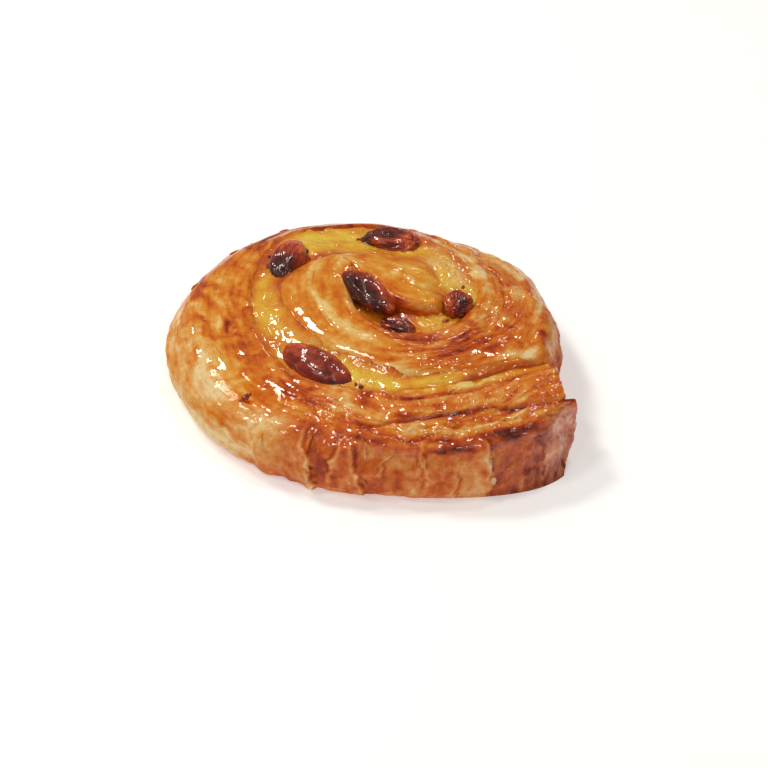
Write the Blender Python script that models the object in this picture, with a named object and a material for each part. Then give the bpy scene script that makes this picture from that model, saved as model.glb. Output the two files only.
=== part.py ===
"""A small pain aux raisins: one strip of laminated dough coiled about twice round a custard filling, with six
raisins lying in the filling. Blender units are metres; the sizes below are millimetres and degrees."""

import math

import bmesh
import bpy
import numpy as np
from mathutils import Matrix, Vector, noise

MM = 0.001

# The coil turns clockwise, seen from above, from the cut tail at the front right to the heart in the middle.
# Places along it are given by the turn angle: 0 at the tail's cut, 360 one turn further in.
COIL_CENTRE = (9.55, 4.86)  # the heart lies right of and behind the pastry's middle
TAIL_DIRECTION = -42.0  # where the turn angle is 0, counted anticlockwise from +X
SECOND_TURN = 348.0  # from about here on another turn of dough lies outside the strip
STRIP_TURN = 536.0  # where the strip turns in and becomes the heart
HEART_TURN = 648.0  # where the heart ends
CLEARANCE = 0.35  # between dough, custard and raisins

# (turn angle, distance from the coil's centre) of the strip's outer wall, where it bulges most
OUTER_WALL = (
    (0, 44.2), (10, 45.4), (37, 43.9), (57, 43.2), (95, 48.6), (126, 53.2), (140, 52.8), (152, 51.4),
    (170, 46.6), (201, 37.0), (240, 31.0), (273, 30.4), (303, 30.1), (325, 31.8), (348, 34.2), (362, 27.4),
    (391, 24.8), (440, 22.4), (479, 26.2), (508, 30.4), (531, 25.4), (553, 19.0), (580, 14.2), (620, 10.2),
    (648, 7.6),
)
# (turn angle, width) of the custard channel between the strip and its next turn in
CHANNEL = (
    (-14, 0.7), (6, 0.9), (18, 2.4), (48, 2.6), (77, 6.1), (93, 7.6), (134, 4.4), (146, 3.2), (160, 6.6),
    (180, 11.6), (215, 10.8), (245, 6.0), (288, 5.2),
)
# (turn angle, distance from the coil's centre) of the strip's inner wall, where it runs round the heart
GROOVE_WALL = (
    (288, 14.2), (307, 13.5), (348, 11.6), (400, 11.4), (462, 11.6), (484, 12.2), (505, 13.2), (522, 14.9),
    (536, 16.1),
)
GROOVE_BLEND = (262, 300)  # the turn angles over which the channel's outer wall becomes the groove's
WALL_BLUR = 4.5  # how far, in degrees, the walls' corners are rounded
SHAPE_BLUR = 8.0  # the same for what changes slowly along the strip
# The heart's front edge, from the groove's end to the heart's tip: a quadratic Bezier curve whose three
# points are measured from the coil's centre
HEART_EDGE = ((-12.9, 9.6), (-5.4, -5.0), (4.4, -4.4))
HEART_TIP = 2.2  # how far the heart's round end stands past its last full section
TAIL_SKEW = 9.0  # the tail's cut runs askew: its inner corner lies this many degrees further round
TAIL_SKEW_END = 25.0

# The top is a low dome, highest near the heart, that falls to the front. Its height is a quadratic in the
# distances right of and behind the coil's centre.
DOME_HEIGHT = 20.0
DOME_SLOPE = (-0.023, 0.038)
DOME_FALL = (-0.0031, -0.0031)
DOME_TWIST = -0.0022
TAIL_LIFT = 1.6  # the cut end has opened a little and stands higher
TAIL_LIFT_END = 22.0

# The strip's section. Pairs give a value at a turn angle.
LIP = (  # width of the rounding along the channel
    (0, 2.2), (150, 2.2), (195, 1.3), (245, 1.3), (290, 2.2), (505, 2.2), (532, 0.8), (560, 1.0), (610, 2.0),
)
LIP_STEEPNESS = 1.2  # the lip's drop, as a multiple of its width
WALL_LIP, WALL_LIP_DROP = 2.6, 3.2  # rounding of the outer edge where another turn lies outside
WALL_LIP_SQUARENESS = 2.2
SHOULDER = (  # width of the rounding of the pastry's own outer edge
    (0, 3.0), (40, 3.0), (75, 7.0), (100, 9.5), (150, 10.0), (200, 8.5), (250, 7.5), (320, 7.0), (348, 6.0),
)
SQUARENESS = (  # power of the shoulder's superellipse: 2 is round, more is boxy, 1 a slope
    (0, 2.8), (80, 2.3), (150, 2.1), (190, 1.6), (220, 1.35), (260, 1.5), (300, 2.0), (348, 2.1),
)
RIM_FALL = (  # the back slopes outwards
    (0, 0.0), (144, 0.0), (166, 3.0), (190, 5.0), (235, 5.2), (280, 2.2), (320, 0.0),
)
BULGE_HEIGHT = 0.42  # height of the widest line of the outer wall, as a share of the rim's height
TUCK = (  # how far the foot lies inside the bulge
    (0, -1.9), (12, -3.2), (24, -0.6), (40, 1.1), (90, 2.6), (130, 3.6), (200, 3.0), (348, 2.2),
)
CROWN = 0.5  # rounding of the strip's top

# Relief of the dough
LAYERS = 4.5  # laminations that show across the strip's top
LAYER_DEPTH = 0.6
CALM_TURNS = 28.0  # the laminations fade over this many degrees where the strip turns in
PLEAT_DEPTH = 0.7  # upright pleats of the outer crust
BLISTER_DEPTH = 0.6
CREASE_DEPTH, CREASE_PLACE, CREASE_WIDTH = 1.2, 0.5, 0.1  # a split between two layers of the tail's top
CREASE_END = 62.0

# Number of points round the strip's section
TOP_POINTS = 12
SHOULDER_ANGLES = (22, 44, 66, 90)
WALL_ANGLES = (30, 60, 90)

# Custard
CUSTARD_START, CUSTARD_END, CUSTARD_STEP = 11.0, 522.0, 5.2
CUSTARD_DROP = (  # how far it lies below the dome
    (30, 1.2), (90, 1.5), (150, 1.8), (200, 2.2), (260, 2.8), (330, 3.2), (420, 3.6), (524, 3.4),
)
CUSTARD_FOOT = 0.35  # height of its underside above the tray
CUSTARD_PUFF = 0.5
TIP_SWEEP = 66.0  # turn angle that the custard takes round the heart's tip
TIP_BULGE, TIP_MARGIN = 1.7, 0.55  # how far it keeps clear of the tip's end and of its front corner
TIP_CORNER_WAY = (0.3, -0.95)  # the way from that corner to the groove
TIP_CORNER_REACH = 0.35  # share of the heart's front edge over which the margin fades

# Raisins: name, place from the coil's centre and height, (length, width, thickness), heading, pitch, roll and
# dent: how deep, as a share of half the thickness, and how far left, as a share of half the width
RAISINS = (
    ("raisin_left_back", (-27.4, 14.0, 17.6), (11.6, 7.8, 6.2), -115, 12, 20, (0.35, 0.1)),
    ("raisin_back", (-4.6, 21.0, 17.8), (13.8, 7.0, 5.6), -8, 0, 10, (0.4, 0.2)),
    ("raisin_heart", (-9.6, 1.4, 18.8), (15.2, 7.8, 6.0), -50, 6, -10, (0.9, -0.3)),
    ("raisin_groove", (-3.4, -7.1, 14.6), (9.0, 6.4, 5.6), -30, 4, 0, (0.2, 0.0)),
    ("raisin_right", (9.4, -1.6, 17.4), (7.6, 7.2, 6.8), 70, 10, 0, (0.2, 0.2)),
    ("raisin_front", (-19.6, -19.0, 14.2), (18.0, 8.0, 6.6), -38, 6, 16, (0.15, -0.1)),
)
WRINKLES, WRINKLE_DEPTH = 5, 0.16  # how many run along a raisin, and their depth as a share of its half width
LUMP_DEPTH = 0.10
DENT_LENGTH, DENT_WIDTH = 0.6, 0.42
RAISIN_DETAIL = 3  # subdivisions of its icosphere
POCKET_OPENING = 1.8  # a raisin's pocket opens upwards: its upper half is stretched by this

COLOURS = {"dough": (0.60, 0.27, 0.07), "custard": (0.72, 0.47, 0.06), "raisin": (0.10, 0.02, 0.01)}
ROUGHNESS = 0.35


def clear_scene():
    for obj in list(bpy.data.objects):
        bpy.data.objects.remove(obj)


def material(name, colour):
    made = bpy.data.materials.new(name)
    made.use_nodes = True
    shader = made.node_tree.nodes["Principled BSDF"]
    shader.inputs["Base Color"].default_value = (*colour, 1.0)
    shader.inputs["Roughness"].default_value = ROUGHNESS
    shader.inputs["Metallic"].default_value = 0.0
    return made


def smooth_curve(knots, blur):
    """A function of the turn angle through the knots, its corners rounded over `blur` degrees."""
    step = 0.5
    margin = 4 * blur
    angles = np.arange(knots[0][0] - margin, knots[-1][0] + margin + step, step)
    values = np.interp(angles, *np.array(knots, float).T)
    reach = np.arange(-margin, margin + step, step)
    weights = np.exp(-0.5 * (reach / blur) ** 2)
    padded = np.pad(values, len(reach) // 2, mode="edge")
    rounded = np.convolve(padded, weights / weights.sum(), mode="valid")
    return lambda turn: float(np.interp(turn, angles, rounded))


outer_radius = smooth_curve(OUTER_WALL, WALL_BLUR)
channel_width = smooth_curve(CHANNEL, WALL_BLUR)
groove_radius = smooth_curve(GROOVE_WALL, WALL_BLUR)
lip_width = smooth_curve(LIP, SHAPE_BLUR)
shoulder_width = smooth_curve(SHOULDER, SHAPE_BLUR)
squareness = smooth_curve(SQUARENESS, SHAPE_BLUR)
rim_fall = smooth_curve(RIM_FALL, SHAPE_BLUR)
tuck_width = smooth_curve(TUCK, SHAPE_BLUR)
custard_drop = smooth_curve(CUSTARD_DROP, SHAPE_BLUR)


def ramp(value, start, end):
    """0 up to start, 1 from end on, and a smooth step between."""
    share = min(1.0, max(0.0, (value - start) / (end - start)))
    return share * share * (3 - 2 * share)


def mix(first, second, share):
    return first + (second - first) * share


def polar(turn, radius):
    angle = math.radians(TAIL_DIRECTION - turn)
    return Vector((radius * math.cos(angle), radius * math.sin(angle)))


def inner_radius(turn):
    """Distance of the strip's inner wall from the coil's centre."""
    beside_next_turn = outer_radius(turn + 360) + channel_width(turn)
    return mix(beside_next_turn, groove_radius(turn), ramp(turn, *GROOVE_BLEND))


def heart_edge(share):
    """Point of the heart's front edge, from the groove's end at 0 to the tip at 1."""
    start, middle, end = (Vector(point) for point in HEART_EDGE)
    return start * (1 - share) ** 2 + middle * 2 * share * (1 - share) + end * share**2


def dome(point, turn):
    """Height of the pastry's top over a point of the plan."""
    right, behind = point
    height = DOME_HEIGHT + DOME_SLOPE[0] * right + DOME_SLOPE[1] * behind
    height += DOME_FALL[0] * right**2 + DOME_FALL[1] * behind**2 + DOME_TWIST * right * behind
    return height + TAIL_LIFT * (1 - ramp(turn, 0, TAIL_LIFT_END))


def station(turn):
    """Inner and outer point of the strip's section at a turn angle, in plan."""
    outer = polar(turn, outer_radius(turn))
    if turn > STRIP_TURN:
        return heart_edge((turn - STRIP_TURN) / (HEART_TURN - STRIP_TURN)), outer
    askew = turn - TAIL_SKEW * max(0.0, 1 - turn / TAIL_SKEW_END)
    return polar(askew, inner_radius(askew)), outer


def layer_relief(turn, share):
    """Ridges of the laminations along the strip; share runs from its inner to its outer edge."""
    drift = noise.noise(Vector((turn * 0.02, share * 1.5, 3.0)))
    wave = abs(math.sin(math.pi * (LAYERS * share + 0.9 * drift)))
    fade = ramp(share, 0.0, 0.08) * (1 - ramp(share, 0.9, 1.0))
    turned_in = math.exp(-(((turn - STRIP_TURN) / CALM_TURNS) ** 2))
    fade *= 1 - turned_in * (1 - ramp(share, 0.25, 0.7))
    split = math.exp(-(((share - CREASE_PLACE) / CREASE_WIDTH) ** 2))
    split *= 1 - ramp(turn, 0.5 * CREASE_END, CREASE_END)
    return LAYER_DEPTH * (wave**0.7 - 0.6) * fade - CREASE_DEPTH * split


def wall_relief(turn, height):
    """Upright pleats and blisters of the outer crust, outwards."""
    pleat = noise.noise(Vector((turn * 0.13, height * 0.05, 7.0)))
    blister = noise.noise(Vector((turn * 0.05, height * 0.16, 11.0)))
    return PLEAT_DEPTH * pleat + BLISTER_DEPTH * blister


def section(turn):
    """The strip's outline at a turn angle: its inner point, the direction across it, and its points as
    pairs of distance across and height."""
    inner, outer = station(turn)
    width = (outer - inner).length
    across = (outer - inner) / width
    outside = 1 - ramp(turn, SECOND_TURN - 8, SECOND_TURN + 8)

    def top(distance):
        share = distance / width
        crown = CROWN * math.sin(math.pi * share) - rim_fall(turn) * share
        return dome(inner + across * distance, turn) + crown + layer_relief(turn, share)

    lip = min(lip_width(turn), 0.3 * width)
    rim = min(mix(WALL_LIP, shoulder_width(turn), outside), 0.55 * width)
    power = mix(WALL_LIP_SQUARENESS, squareness(turn), outside)
    lip_height, rim_height = top(lip), top(width - rim)
    bulge_height = mix(rim_height - WALL_LIP_DROP, BULGE_HEIGHT * rim_height, outside)
    tuck = tuck_width(turn) * outside

    points = [(0.0, 0.0), (0.0, 0.5 * lip_height)]
    for angle in (0, 45):
        back = 1 - math.cos(math.radians(angle))
        down = 1 - math.sin(math.radians(angle))
        points.append((lip * back, lip_height - LIP_STEEPNESS * lip * down))
    for share in np.linspace(0, 1, TOP_POINTS):
        distance = mix(lip, width - rim, share)
        points.append((distance, top(distance)))
    for angle in SHOULDER_ANGLES:
        out = math.sin(math.radians(angle)) ** (2 / power)
        up = max(0.0, math.cos(math.radians(angle))) ** (2 / power)
        height = mix(bulge_height, rim_height, up)
        swell = outside * wall_relief(turn, height) * ramp(angle, 0, 60)
        points.append((width - rim * (1 - out) + swell, height))
    for angle in WALL_ANGLES:
        back = 1 - math.cos(math.radians(angle))
        height = bulge_height * (1 - math.sin(math.radians(angle)))
        swell = outside * wall_relief(turn, height) * (1 - ramp(angle, 30, 90))
        points.append((width - tuck * back + swell, height))
    points.append((0.5 * width, 0.0))
    return inner, across, points


def place(plan, height):
    return Vector((plan[0] + COIL_CENTRE[0], plan[1] + COIL_CENTRE[1], height)) * MM


def shrunk(points, scale):
    """An outline drawn in towards its middle, its foot kept on the tray."""
    middle = (max(p[0] for p in points) + min(p[0] for p in points)) / 2
    return [(mix(middle, distance, scale), height * mix(1, scale, 0.7)) for distance, height in points]


def dough_rings():
    """The strip's sections, from the tail's cut to the heart's tip, as rings of points. They lie closer
    together at the tail and where the next turn slips inside it."""
    turns = [*np.arange(0, 30, 2.0), *np.arange(30, 332, 3.6), *np.arange(332, 372, 2.0)]
    turns += [*np.arange(372, STRIP_TURN, 6.0), *np.linspace(STRIP_TURN, HEART_TURN, 13)]
    rings = []
    for count, turn in enumerate(turns):
        inner, across, points = section(turn)
        scale = {0: 0.95, 1: 0.985}.get(count, 1.0)  # the cut's edges are rounded
        rings.append([place(inner + across * distance, height) for distance, height in shrunk(points, scale)])
    inner, across, points = section(HEART_TURN)
    ahead = Vector((across[1], -across[0])) * HEART_TIP
    for angle in (25, 50, 75):
        rounded = shrunk(points, math.cos(math.radians(angle)))
        start = inner + ahead * math.sin(math.radians(angle))
        rings.append([place(start + across * distance, height) for distance, height in rounded])
    return rings


def custard_inside(turn):
    """Point of the channel's inner wall: the next turn's outer wall, the heart's tip, then its front edge."""
    tip_start = HEART_TURN - 360
    tip_end = tip_start + TIP_SWEEP
    if turn <= tip_start:
        return polar(turn, outer_radius(turn + 360))
    if turn <= tip_end:
        share = (turn - tip_start) / TIP_SWEEP
        radius = mix(outer_radius(HEART_TURN), heart_edge(1.0).length + TIP_MARGIN, share)
        return polar(turn, radius + TIP_BULGE * math.sin(math.pi * share))
    share = (turn - tip_end) / (STRIP_TURN - tip_end)
    clear_of_corner = Vector(TIP_CORNER_WAY) * TIP_MARGIN * (1 - ramp(share, 0.0, TIP_CORNER_REACH))
    return heart_edge(1 - share) + clear_of_corner


def custard_rings():
    """Sections of the filling, from its thin end at the front to the groove's end beside the heart."""
    rings = []
    for turn in np.arange(CUSTARD_START, CUSTARD_END + 0.1, CUSTARD_STEP):
        inside, outside = custard_inside(turn), polar(turn, inner_radius(turn))
        across = (outside - inside).normalized()
        width = (outside - inside).length - 2 * CLEARANCE
        inside += across * CLEARANCE
        points = [(0.0, CUSTARD_FOOT)]
        for share in (0, 0.25, 0.5, 0.75, 1):
            level = dome(inside + across * width * share, turn) - custard_drop(turn)
            points.append((share * width, level + CUSTARD_PUFF * math.sin(math.pi * share)))
        points.append((width, CUSTARD_FOOT))
        rings.append([place(inside + across * distance, height) for distance, height in points])
    return rings


def wrapped_grid(rings):
    """A closed tube through the rings: a grid whose rows become the rings, joined along its seam, with capped
    ends."""
    rows, around = len(rings) - 1, len(rings[0])
    mesh = bmesh.new()
    bmesh.ops.create_grid(mesh, x_segments=rows, y_segments=around, size=1.0)
    for vert in mesh.verts:
        row = round((vert.co.x + 1) / 2 * rows)
        column = round((vert.co.y + 1) / 2 * around)
        vert.co = rings[row][column % around]
    bmesh.ops.remove_doubles(mesh, verts=mesh.verts, dist=1e-7)
    bmesh.ops.holes_fill(mesh, edges=[edge for edge in mesh.edges if edge.is_boundary], sides=0)
    bmesh.ops.triangulate(mesh, faces=[face for face in mesh.faces if len(face.verts) > 4])
    bmesh.ops.recalc_face_normals(mesh, faces=mesh.faces)
    return mesh


def raisin_shape(size, dent, seed, swell=0.0, opening=1.0):
    """A shrivelled ellipsoid with lengthwise wrinkles and a dented top. The pocket that it lies in is the
    same shape grown by `swell` on every side, its upper half stretched by `opening`."""
    depth, left = dent
    mesh = bmesh.new()
    bmesh.ops.create_icosphere(mesh, subdivisions=RAISIN_DETAIL, radius=1.0)
    half = Vector(size) / 2
    for vert in mesh.verts:
        way = vert.co.copy()
        around = math.atan2(way.z, way.y)
        fold = math.sin(WRINKLES * around + 3.0 * noise.noise(Vector((way.x * 1.3, seed, around * 0.4))))
        lump = noise.noise(way * 1.4 + Vector((seed * 5.1, 0, 0)))
        scale = 1 - WRINKLE_DEPTH * (0.5 + 0.5 * fold) * (1 - way.x**4) + LUMP_DEPTH * lump
        point = Vector(way[i] * (half[i] * scale + swell) for i in range(3))
        if way.z > 0:
            hollow = math.exp(-((way.x / DENT_LENGTH) ** 2) - ((way.y - left) / DENT_WIDTH) ** 2)
            point.z *= (1 - depth * hollow) * opening
        vert.co = point * MM
    return mesh


def raisin_place(centre, heading, pitch, roll):
    turned = Matrix.Rotation(math.radians(heading), 4, "Z")
    turned @= Matrix.Rotation(math.radians(pitch), 4, "Y") @ Matrix.Rotation(math.radians(roll), 4, "X")
    return Matrix.Translation(place(centre[:2], centre[2])) @ turned


def add_object(name, mesh, finish):
    data = bpy.data.meshes.new(name)
    mesh.to_mesh(data)
    mesh.free()
    data.shade_smooth()
    data.set_sharp_from_angle(angle=math.radians(50))
    data.materials.append(finish)
    obj = bpy.data.objects.new(name, data)
    bpy.context.scene.collection.objects.link(obj)
    return obj


def press_in(obj, cutter):
    """Leaves the cutter's shape as a pocket in obj."""
    pocket = obj.modifiers.new(cutter.name, "BOOLEAN")
    pocket.operation = "DIFFERENCE"
    pocket.solver = "EXACT"
    pocket.object = cutter


def main():
    clear_scene()
    finishes = {name: material(name, colour) for name, colour in COLOURS.items()}
    dough = add_object("dough", wrapped_grid(dough_rings()), finishes["dough"])
    custard = add_object("custard", wrapped_grid(custard_rings()), finishes["custard"])
    for seed, (name, centre, size, heading, pitch, roll, dent) in enumerate(RAISINS):
        raisin = add_object(name, raisin_shape(size, dent, seed), finishes["raisin"])
        pocket_mesh = raisin_shape(size, (0.0, 0.0), seed, CLEARANCE, POCKET_OPENING)
        pocket = add_object("pocket_of_" + name, pocket_mesh, finishes["raisin"])
        pocket.hide_render = True
        pocket.display_type = "WIRE"
        for obj in (raisin, pocket):
            obj.matrix_world = raisin_place(centre, heading, pitch, roll)
        press_in(dough, pocket)
        press_in(custard, pocket)


main()
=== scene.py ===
# %% [markdown]
# # A small pain aux raisins
# The pastry is one strip of laminated dough, coiled nearly twice with a ribbon of custard and raisins
# between its turns, then baked and glazed. The solids give its form and its size. This lesson dresses them:
# the dough gets its layers, blisters and browning, the custard its puffed skin, the raisins their wrinkles,
# and all of it a syrup glaze. Sizes are millimetres unless a name says otherwise, and one Blender unit is a
# metre.

# %% The frame
import math

import bmesh
import bpy
import numpy as np
from mathutils import Matrix, Vector, noise


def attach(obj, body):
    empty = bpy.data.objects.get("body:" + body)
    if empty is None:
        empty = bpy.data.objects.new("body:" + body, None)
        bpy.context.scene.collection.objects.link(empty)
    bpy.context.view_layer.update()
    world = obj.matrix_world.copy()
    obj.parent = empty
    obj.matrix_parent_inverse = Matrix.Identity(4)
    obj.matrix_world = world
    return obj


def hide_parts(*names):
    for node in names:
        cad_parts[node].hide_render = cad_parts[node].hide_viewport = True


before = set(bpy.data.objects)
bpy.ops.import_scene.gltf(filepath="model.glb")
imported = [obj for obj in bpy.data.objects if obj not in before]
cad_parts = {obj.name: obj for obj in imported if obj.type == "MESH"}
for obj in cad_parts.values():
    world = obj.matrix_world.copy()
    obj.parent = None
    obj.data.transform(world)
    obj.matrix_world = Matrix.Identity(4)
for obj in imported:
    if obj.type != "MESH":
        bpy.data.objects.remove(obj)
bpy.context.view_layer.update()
MM = 0.001
scene = bpy.context.scene
print("nodes:", sorted(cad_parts))

# %% [markdown]
# ## Camera
# The photo looks down on the pastry from 40 degrees above the table, from about 420 mm away, with the whole
# pastry well inside the frame. The camera comes first, so that every later step can be looked at from
# there.

# %% Camera
COIL_CENTRE = np.array((9.55, 4.86))  # in plan, from the middle of the pastry's outline
ELEVATION = 40.0
DISTANCE = 418.4
VIEW_ANGLE = 21.74  # degrees across the picture
AIM = Vector((COIL_CENTRE[0] - 6.28, COIL_CENTRE[1] - 17.78, 9.41))
tilt = math.radians(ELEVATION)
camera = bpy.data.objects.new("camera", bpy.data.cameras.new("camera"))
camera.location = (AIM + Vector((0, -math.cos(tilt), math.sin(tilt))) * DISTANCE) * MM
camera.rotation_euler = (math.radians(90 - ELEVATION), 0, 0)
camera.data.angle = math.radians(VIEW_ANGLE)
camera.data.clip_start = 0.01
scene.collection.objects.link(camera)
scene.camera = camera
print("camera at", [round(c, 3) for c in camera.location])

# %% [markdown]
# ## Places along the coil
# The coil turns clockwise, seen from above. A place along it is a turn angle: 0 at the cut tail at the
# front right, 360 one turn further in, and 648 at the tip of the heart. The strip's walls are given at some
# of those angles, and a smooth curve runs through them. They are the same numbers that the solids were made
# from, because the dressed dough has to sit where the solid is.

# %% Curves through a few numbers
def smooth_curve(knots, blur):
    """A function of the turn angle through the knots, its corners rounded over `blur` degrees."""
    step = 0.5
    margin = 4 * blur
    angles = np.arange(knots[0][0] - margin, knots[-1][0] + margin + step, step)
    values = np.interp(angles, *np.array(knots, float).T)
    reach = np.arange(-margin, margin + step, step)
    weights = np.exp(-0.5 * (reach / blur) ** 2)
    padded = np.pad(values, len(reach) // 2, mode="edge")
    rounded = np.convolve(padded, weights / weights.sum(), mode="valid")
    return lambda turn: np.interp(turn, angles, rounded)


def ramp(value, start, end):
    """0 up to start, 1 from end on, and a smooth step between."""
    share = np.clip((np.asarray(value, float) - start) / (end - start), 0.0, 1.0)
    return share * share * (3 - 2 * share)


def fall(value, start, end):
    """1 up to start, 0 from end on, and a smooth step between."""
    return 1 - ramp(value, start, end)


def band(value, rise_start, rise_end, fall_start, fall_end):
    """1 over a stretch of the value, with a smooth step on each side."""
    return ramp(value, rise_start, rise_end) * fall(value, fall_start, fall_end)


def mix(first, second, share):
    return first + (second - first) * share


TAIL_DIRECTION = -42.0
SECOND_TURN, STRIP_TURN, HEART_TURN = 348.0, 536.0, 648.0
outer_radius = smooth_curve((
    (0, 44.2), (10, 45.4), (37, 43.9), (57, 43.2), (95, 48.6), (126, 53.2), (140, 52.8), (152, 51.4),
    (170, 46.6), (201, 37.0), (240, 31.0), (273, 30.4), (303, 30.1), (325, 31.8), (348, 34.2), (362, 27.4),
    (391, 24.8), (440, 22.4), (479, 26.2), (508, 30.4), (531, 25.4), (553, 19.0), (580, 14.2), (620, 10.2),
    (648, 7.6)), 4.5)
channel_width = smooth_curve((
    (-14, 0.3), (8, 0.4), (24, 0.7), (36, 2.2), (48, 2.6), (77, 6.1), (93, 7.6), (134, 4.4), (146, 3.2),
    (160, 6.6), (180, 11.6), (215, 10.8), (245, 6.0), (288, 5.2)), 4.5)
groove_radius = smooth_curve((
    (288, 14.2), (307, 13.5), (348, 11.6), (400, 11.4), (462, 11.6), (484, 12.2), (505, 13.2), (522, 14.9),
    (536, 16.1)), 4.5)
HEART_EDGE = np.array(((-12.9, 9.6), (-5.4, -5.0), (4.4, -4.4)))
HEART_TIP = 2.2
end_radii = [round(float(outer_radius(turn)), 1) for turn in (0, HEART_TURN)]
print("radius in mm at the tail and at the heart:", end_radii)

# %% The strip in plan
def polar(turn, radius):
    angle = np.radians(TAIL_DIRECTION - turn)
    return np.array((radius * np.cos(angle), radius * np.sin(angle)))


def inner_radius(turn):
    """Distance of the strip's inner wall from the coil's centre."""
    beside_next_turn = outer_radius(turn + 360) + channel_width(turn)
    return mix(beside_next_turn, groove_radius(turn), ramp(turn, 262, 300))


def heart_edge(share):
    """Point of the heart's front edge, from the groove's end at 0 to the tip at 1."""
    start, middle, end = HEART_EDGE
    return start * (1 - share) ** 2 + middle * 2 * share * (1 - share) + end * share**2


def dome(point):
    """Height of the pastry's top over a point of the plan, measured from the coil's centre."""
    right, behind = point
    height = 20.0 - 0.023 * right + 0.038 * behind
    height = height - 0.0031 * right**2 - 0.0031 * behind**2 - 0.0022 * right * behind
    return height


def station(turn):
    """Inner and outer point of the strip's section at a turn angle, in plan."""
    outer = polar(turn, outer_radius(turn))
    if turn > STRIP_TURN:
        return heart_edge((turn - STRIP_TURN) / (HEART_TURN - STRIP_TURN)), outer
    askew = turn - 9.0 * max(0.0, 1 - turn / 25.0)
    return polar(askew, inner_radius(askew)), outer


print("strip width at half a turn", round(float(outer_radius(180) - inner_radius(180)), 1), "mm")

# %% [markdown]
# ## The strip's section
# Cut across, the strip is a plump rectangle: a straight wall along the channel, a small lip, a gently
# crowned top, a round shoulder, and an outer wall that bulges and tucks in at the foot. Where another turn
# lies outside it, the wall goes straight down instead. Each section is drawn as a fine line and then
# divided anew at equal steps, so that the layers can be worked into it anywhere.

# %% One section
lip_width = smooth_curve((
    (0, 0.9), (40, 1.0), (70, 2.0), (120, 3.0), (165, 3.0), (195, 1.6), (245, 1.6), (290, 2.2), (505, 2.2),
    (532, 0.8), (560, 1.0), (610, 2.0)), 8)
shoulder_width = smooth_curve((
    (0, 3.0), (40, 3.0), (75, 7.0), (100, 9.5), (150, 10.0), (200, 8.5), (250, 7.5), (320, 7.0),
    (348, 6.0)), 8)
inner_rim = smooth_curve((
    (348, 1.0), (372, 1.2), (395, 3.4), (430, 6.5), (508, 6.5), (535, 4.0), (560, 3.0)), 8)
squareness = smooth_curve((
    (0, 2.8), (80, 2.3), (150, 2.1), (190, 1.6), (220, 1.35), (260, 1.5), (300, 2.0), (348, 2.1)), 8)
rim_fall = smooth_curve(((0, 0.0), (144, 0.0), (166, 3.0), (190, 5.0), (235, 5.2), (280, 2.2), (320, 0.0)), 8)
tuck_width = smooth_curve((
    (0, -1.9), (12, -3.2), (24, -0.6), (40, 1.1), (90, 2.6), (130, 3.6), (200, 3.0), (348, 2.2)), 8)


def wall_swell(turn, heights):
    """Upright pleats and blisters of the outer wall, as in the solid."""
    pleat = [noise.noise(Vector((turn * 0.13, h * 0.05, 7.0))) for h in heights]
    blister = [noise.noise(Vector((turn * 0.05, h * 0.16, 11.0))) for h in heights]
    return 0.7 * np.array(pleat) + 0.6 * np.array(blister)


def section_line(turn):
    """Inner point, direction across, the section's line from foot to foot, half the inner wall's height."""
    inner, outer = station(turn)
    width = math.hypot(*(outer - inner))
    across = (outer - inner) / width
    outside = fall(turn, SECOND_TURN - 8, SECOND_TURN + 8)

    def top(distance):
        share = distance / width
        plan = inner[:, None] + across[:, None] * distance
        ends = 1.6 * fall(turn, 0, 22) * ramp(share, 0.1, 0.5)
        ends = ends - 1.3 * fall(turn, 22, 40) * fall(share, 0, 0.4)
        ends = ends - 1.5 * ramp(turn, 600, 648) * ramp(share, 0.1, 0.7)
        return dome(plan) + 0.5 * np.sin(np.pi * share) - rim_fall(turn) * share + ends

    lip = min(float(lip_width(turn)), 0.3 * width)
    rim = min(float(mix(inner_rim(turn), shoulder_width(turn), outside)), 0.55 * width)
    power = mix(2.2, squareness(turn), outside)
    lip_height, rim_height = top(np.array((lip, width - rim)))
    bulge = mix(rim_height - mix(1.0, 3.2, ramp(turn, 366, 395)), 0.42 * rim_height, outside)
    quarter = np.radians(np.linspace(0, 90, 16))
    lip_part = np.array((lip * (1 - np.cos(quarter)), lip_height - 1.2 * lip * (1 - np.sin(quarter))))
    flat = np.linspace(lip, width - rim, 30)[1:-1]
    top_part = np.array((flat, top(flat)))
    out, up = np.sin(quarter) ** (2 / power), np.maximum(0, np.cos(quarter)) ** (2 / power)
    height = mix(bulge, rim_height, up)
    swell = outside * wall_swell(turn, height) * ramp(np.degrees(quarter), 0, 60)
    shoulder = np.array((width - rim * (1 - out) + swell, height))
    height = bulge * (1 - np.sin(quarter))
    swell = outside * wall_swell(turn, height) * fall(np.degrees(quarter), 30, 90)
    wall = np.array((width - tuck_width(turn) * outside * (1 - np.cos(quarter)) + swell, height))
    line = np.concatenate((((0.0,), (0.0,)), lip_part, top_part, shoulder, wall[:, 1:]), axis=1)
    return inner, across, line.T, 0.5 * lip_height


inner, across, line, half_wall = section_line(60.0)
print("a section has", len(line), "points and is", round(float(np.ptp(line[:, 0])), 1), "mm wide")

# %% [markdown]
# ## Sweeping the section
# A bmesh grid is bent into the strip: its rows become sections and its columns run along the strip.
# Stations lie closest together at the front, where the crust is pleated. Columns lie closest together where
# the surface shows. Every vertex keeps two coordinates for later: how far it lies along the strip, and how
# far round the section. Layers and streaks of colour are worked out in those two, so they follow the coil
# as in real dough.

# %% Stations and columns
turns = np.concatenate((
    np.arange(0, 8, 0.3), np.arange(8, 135, 0.45), np.arange(135, 350, 0.9),
    np.arange(350, STRIP_TURN, 1.4), np.linspace(STRIP_TURN, HEART_TURN, 66)))
COLUMNS = 124


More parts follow.
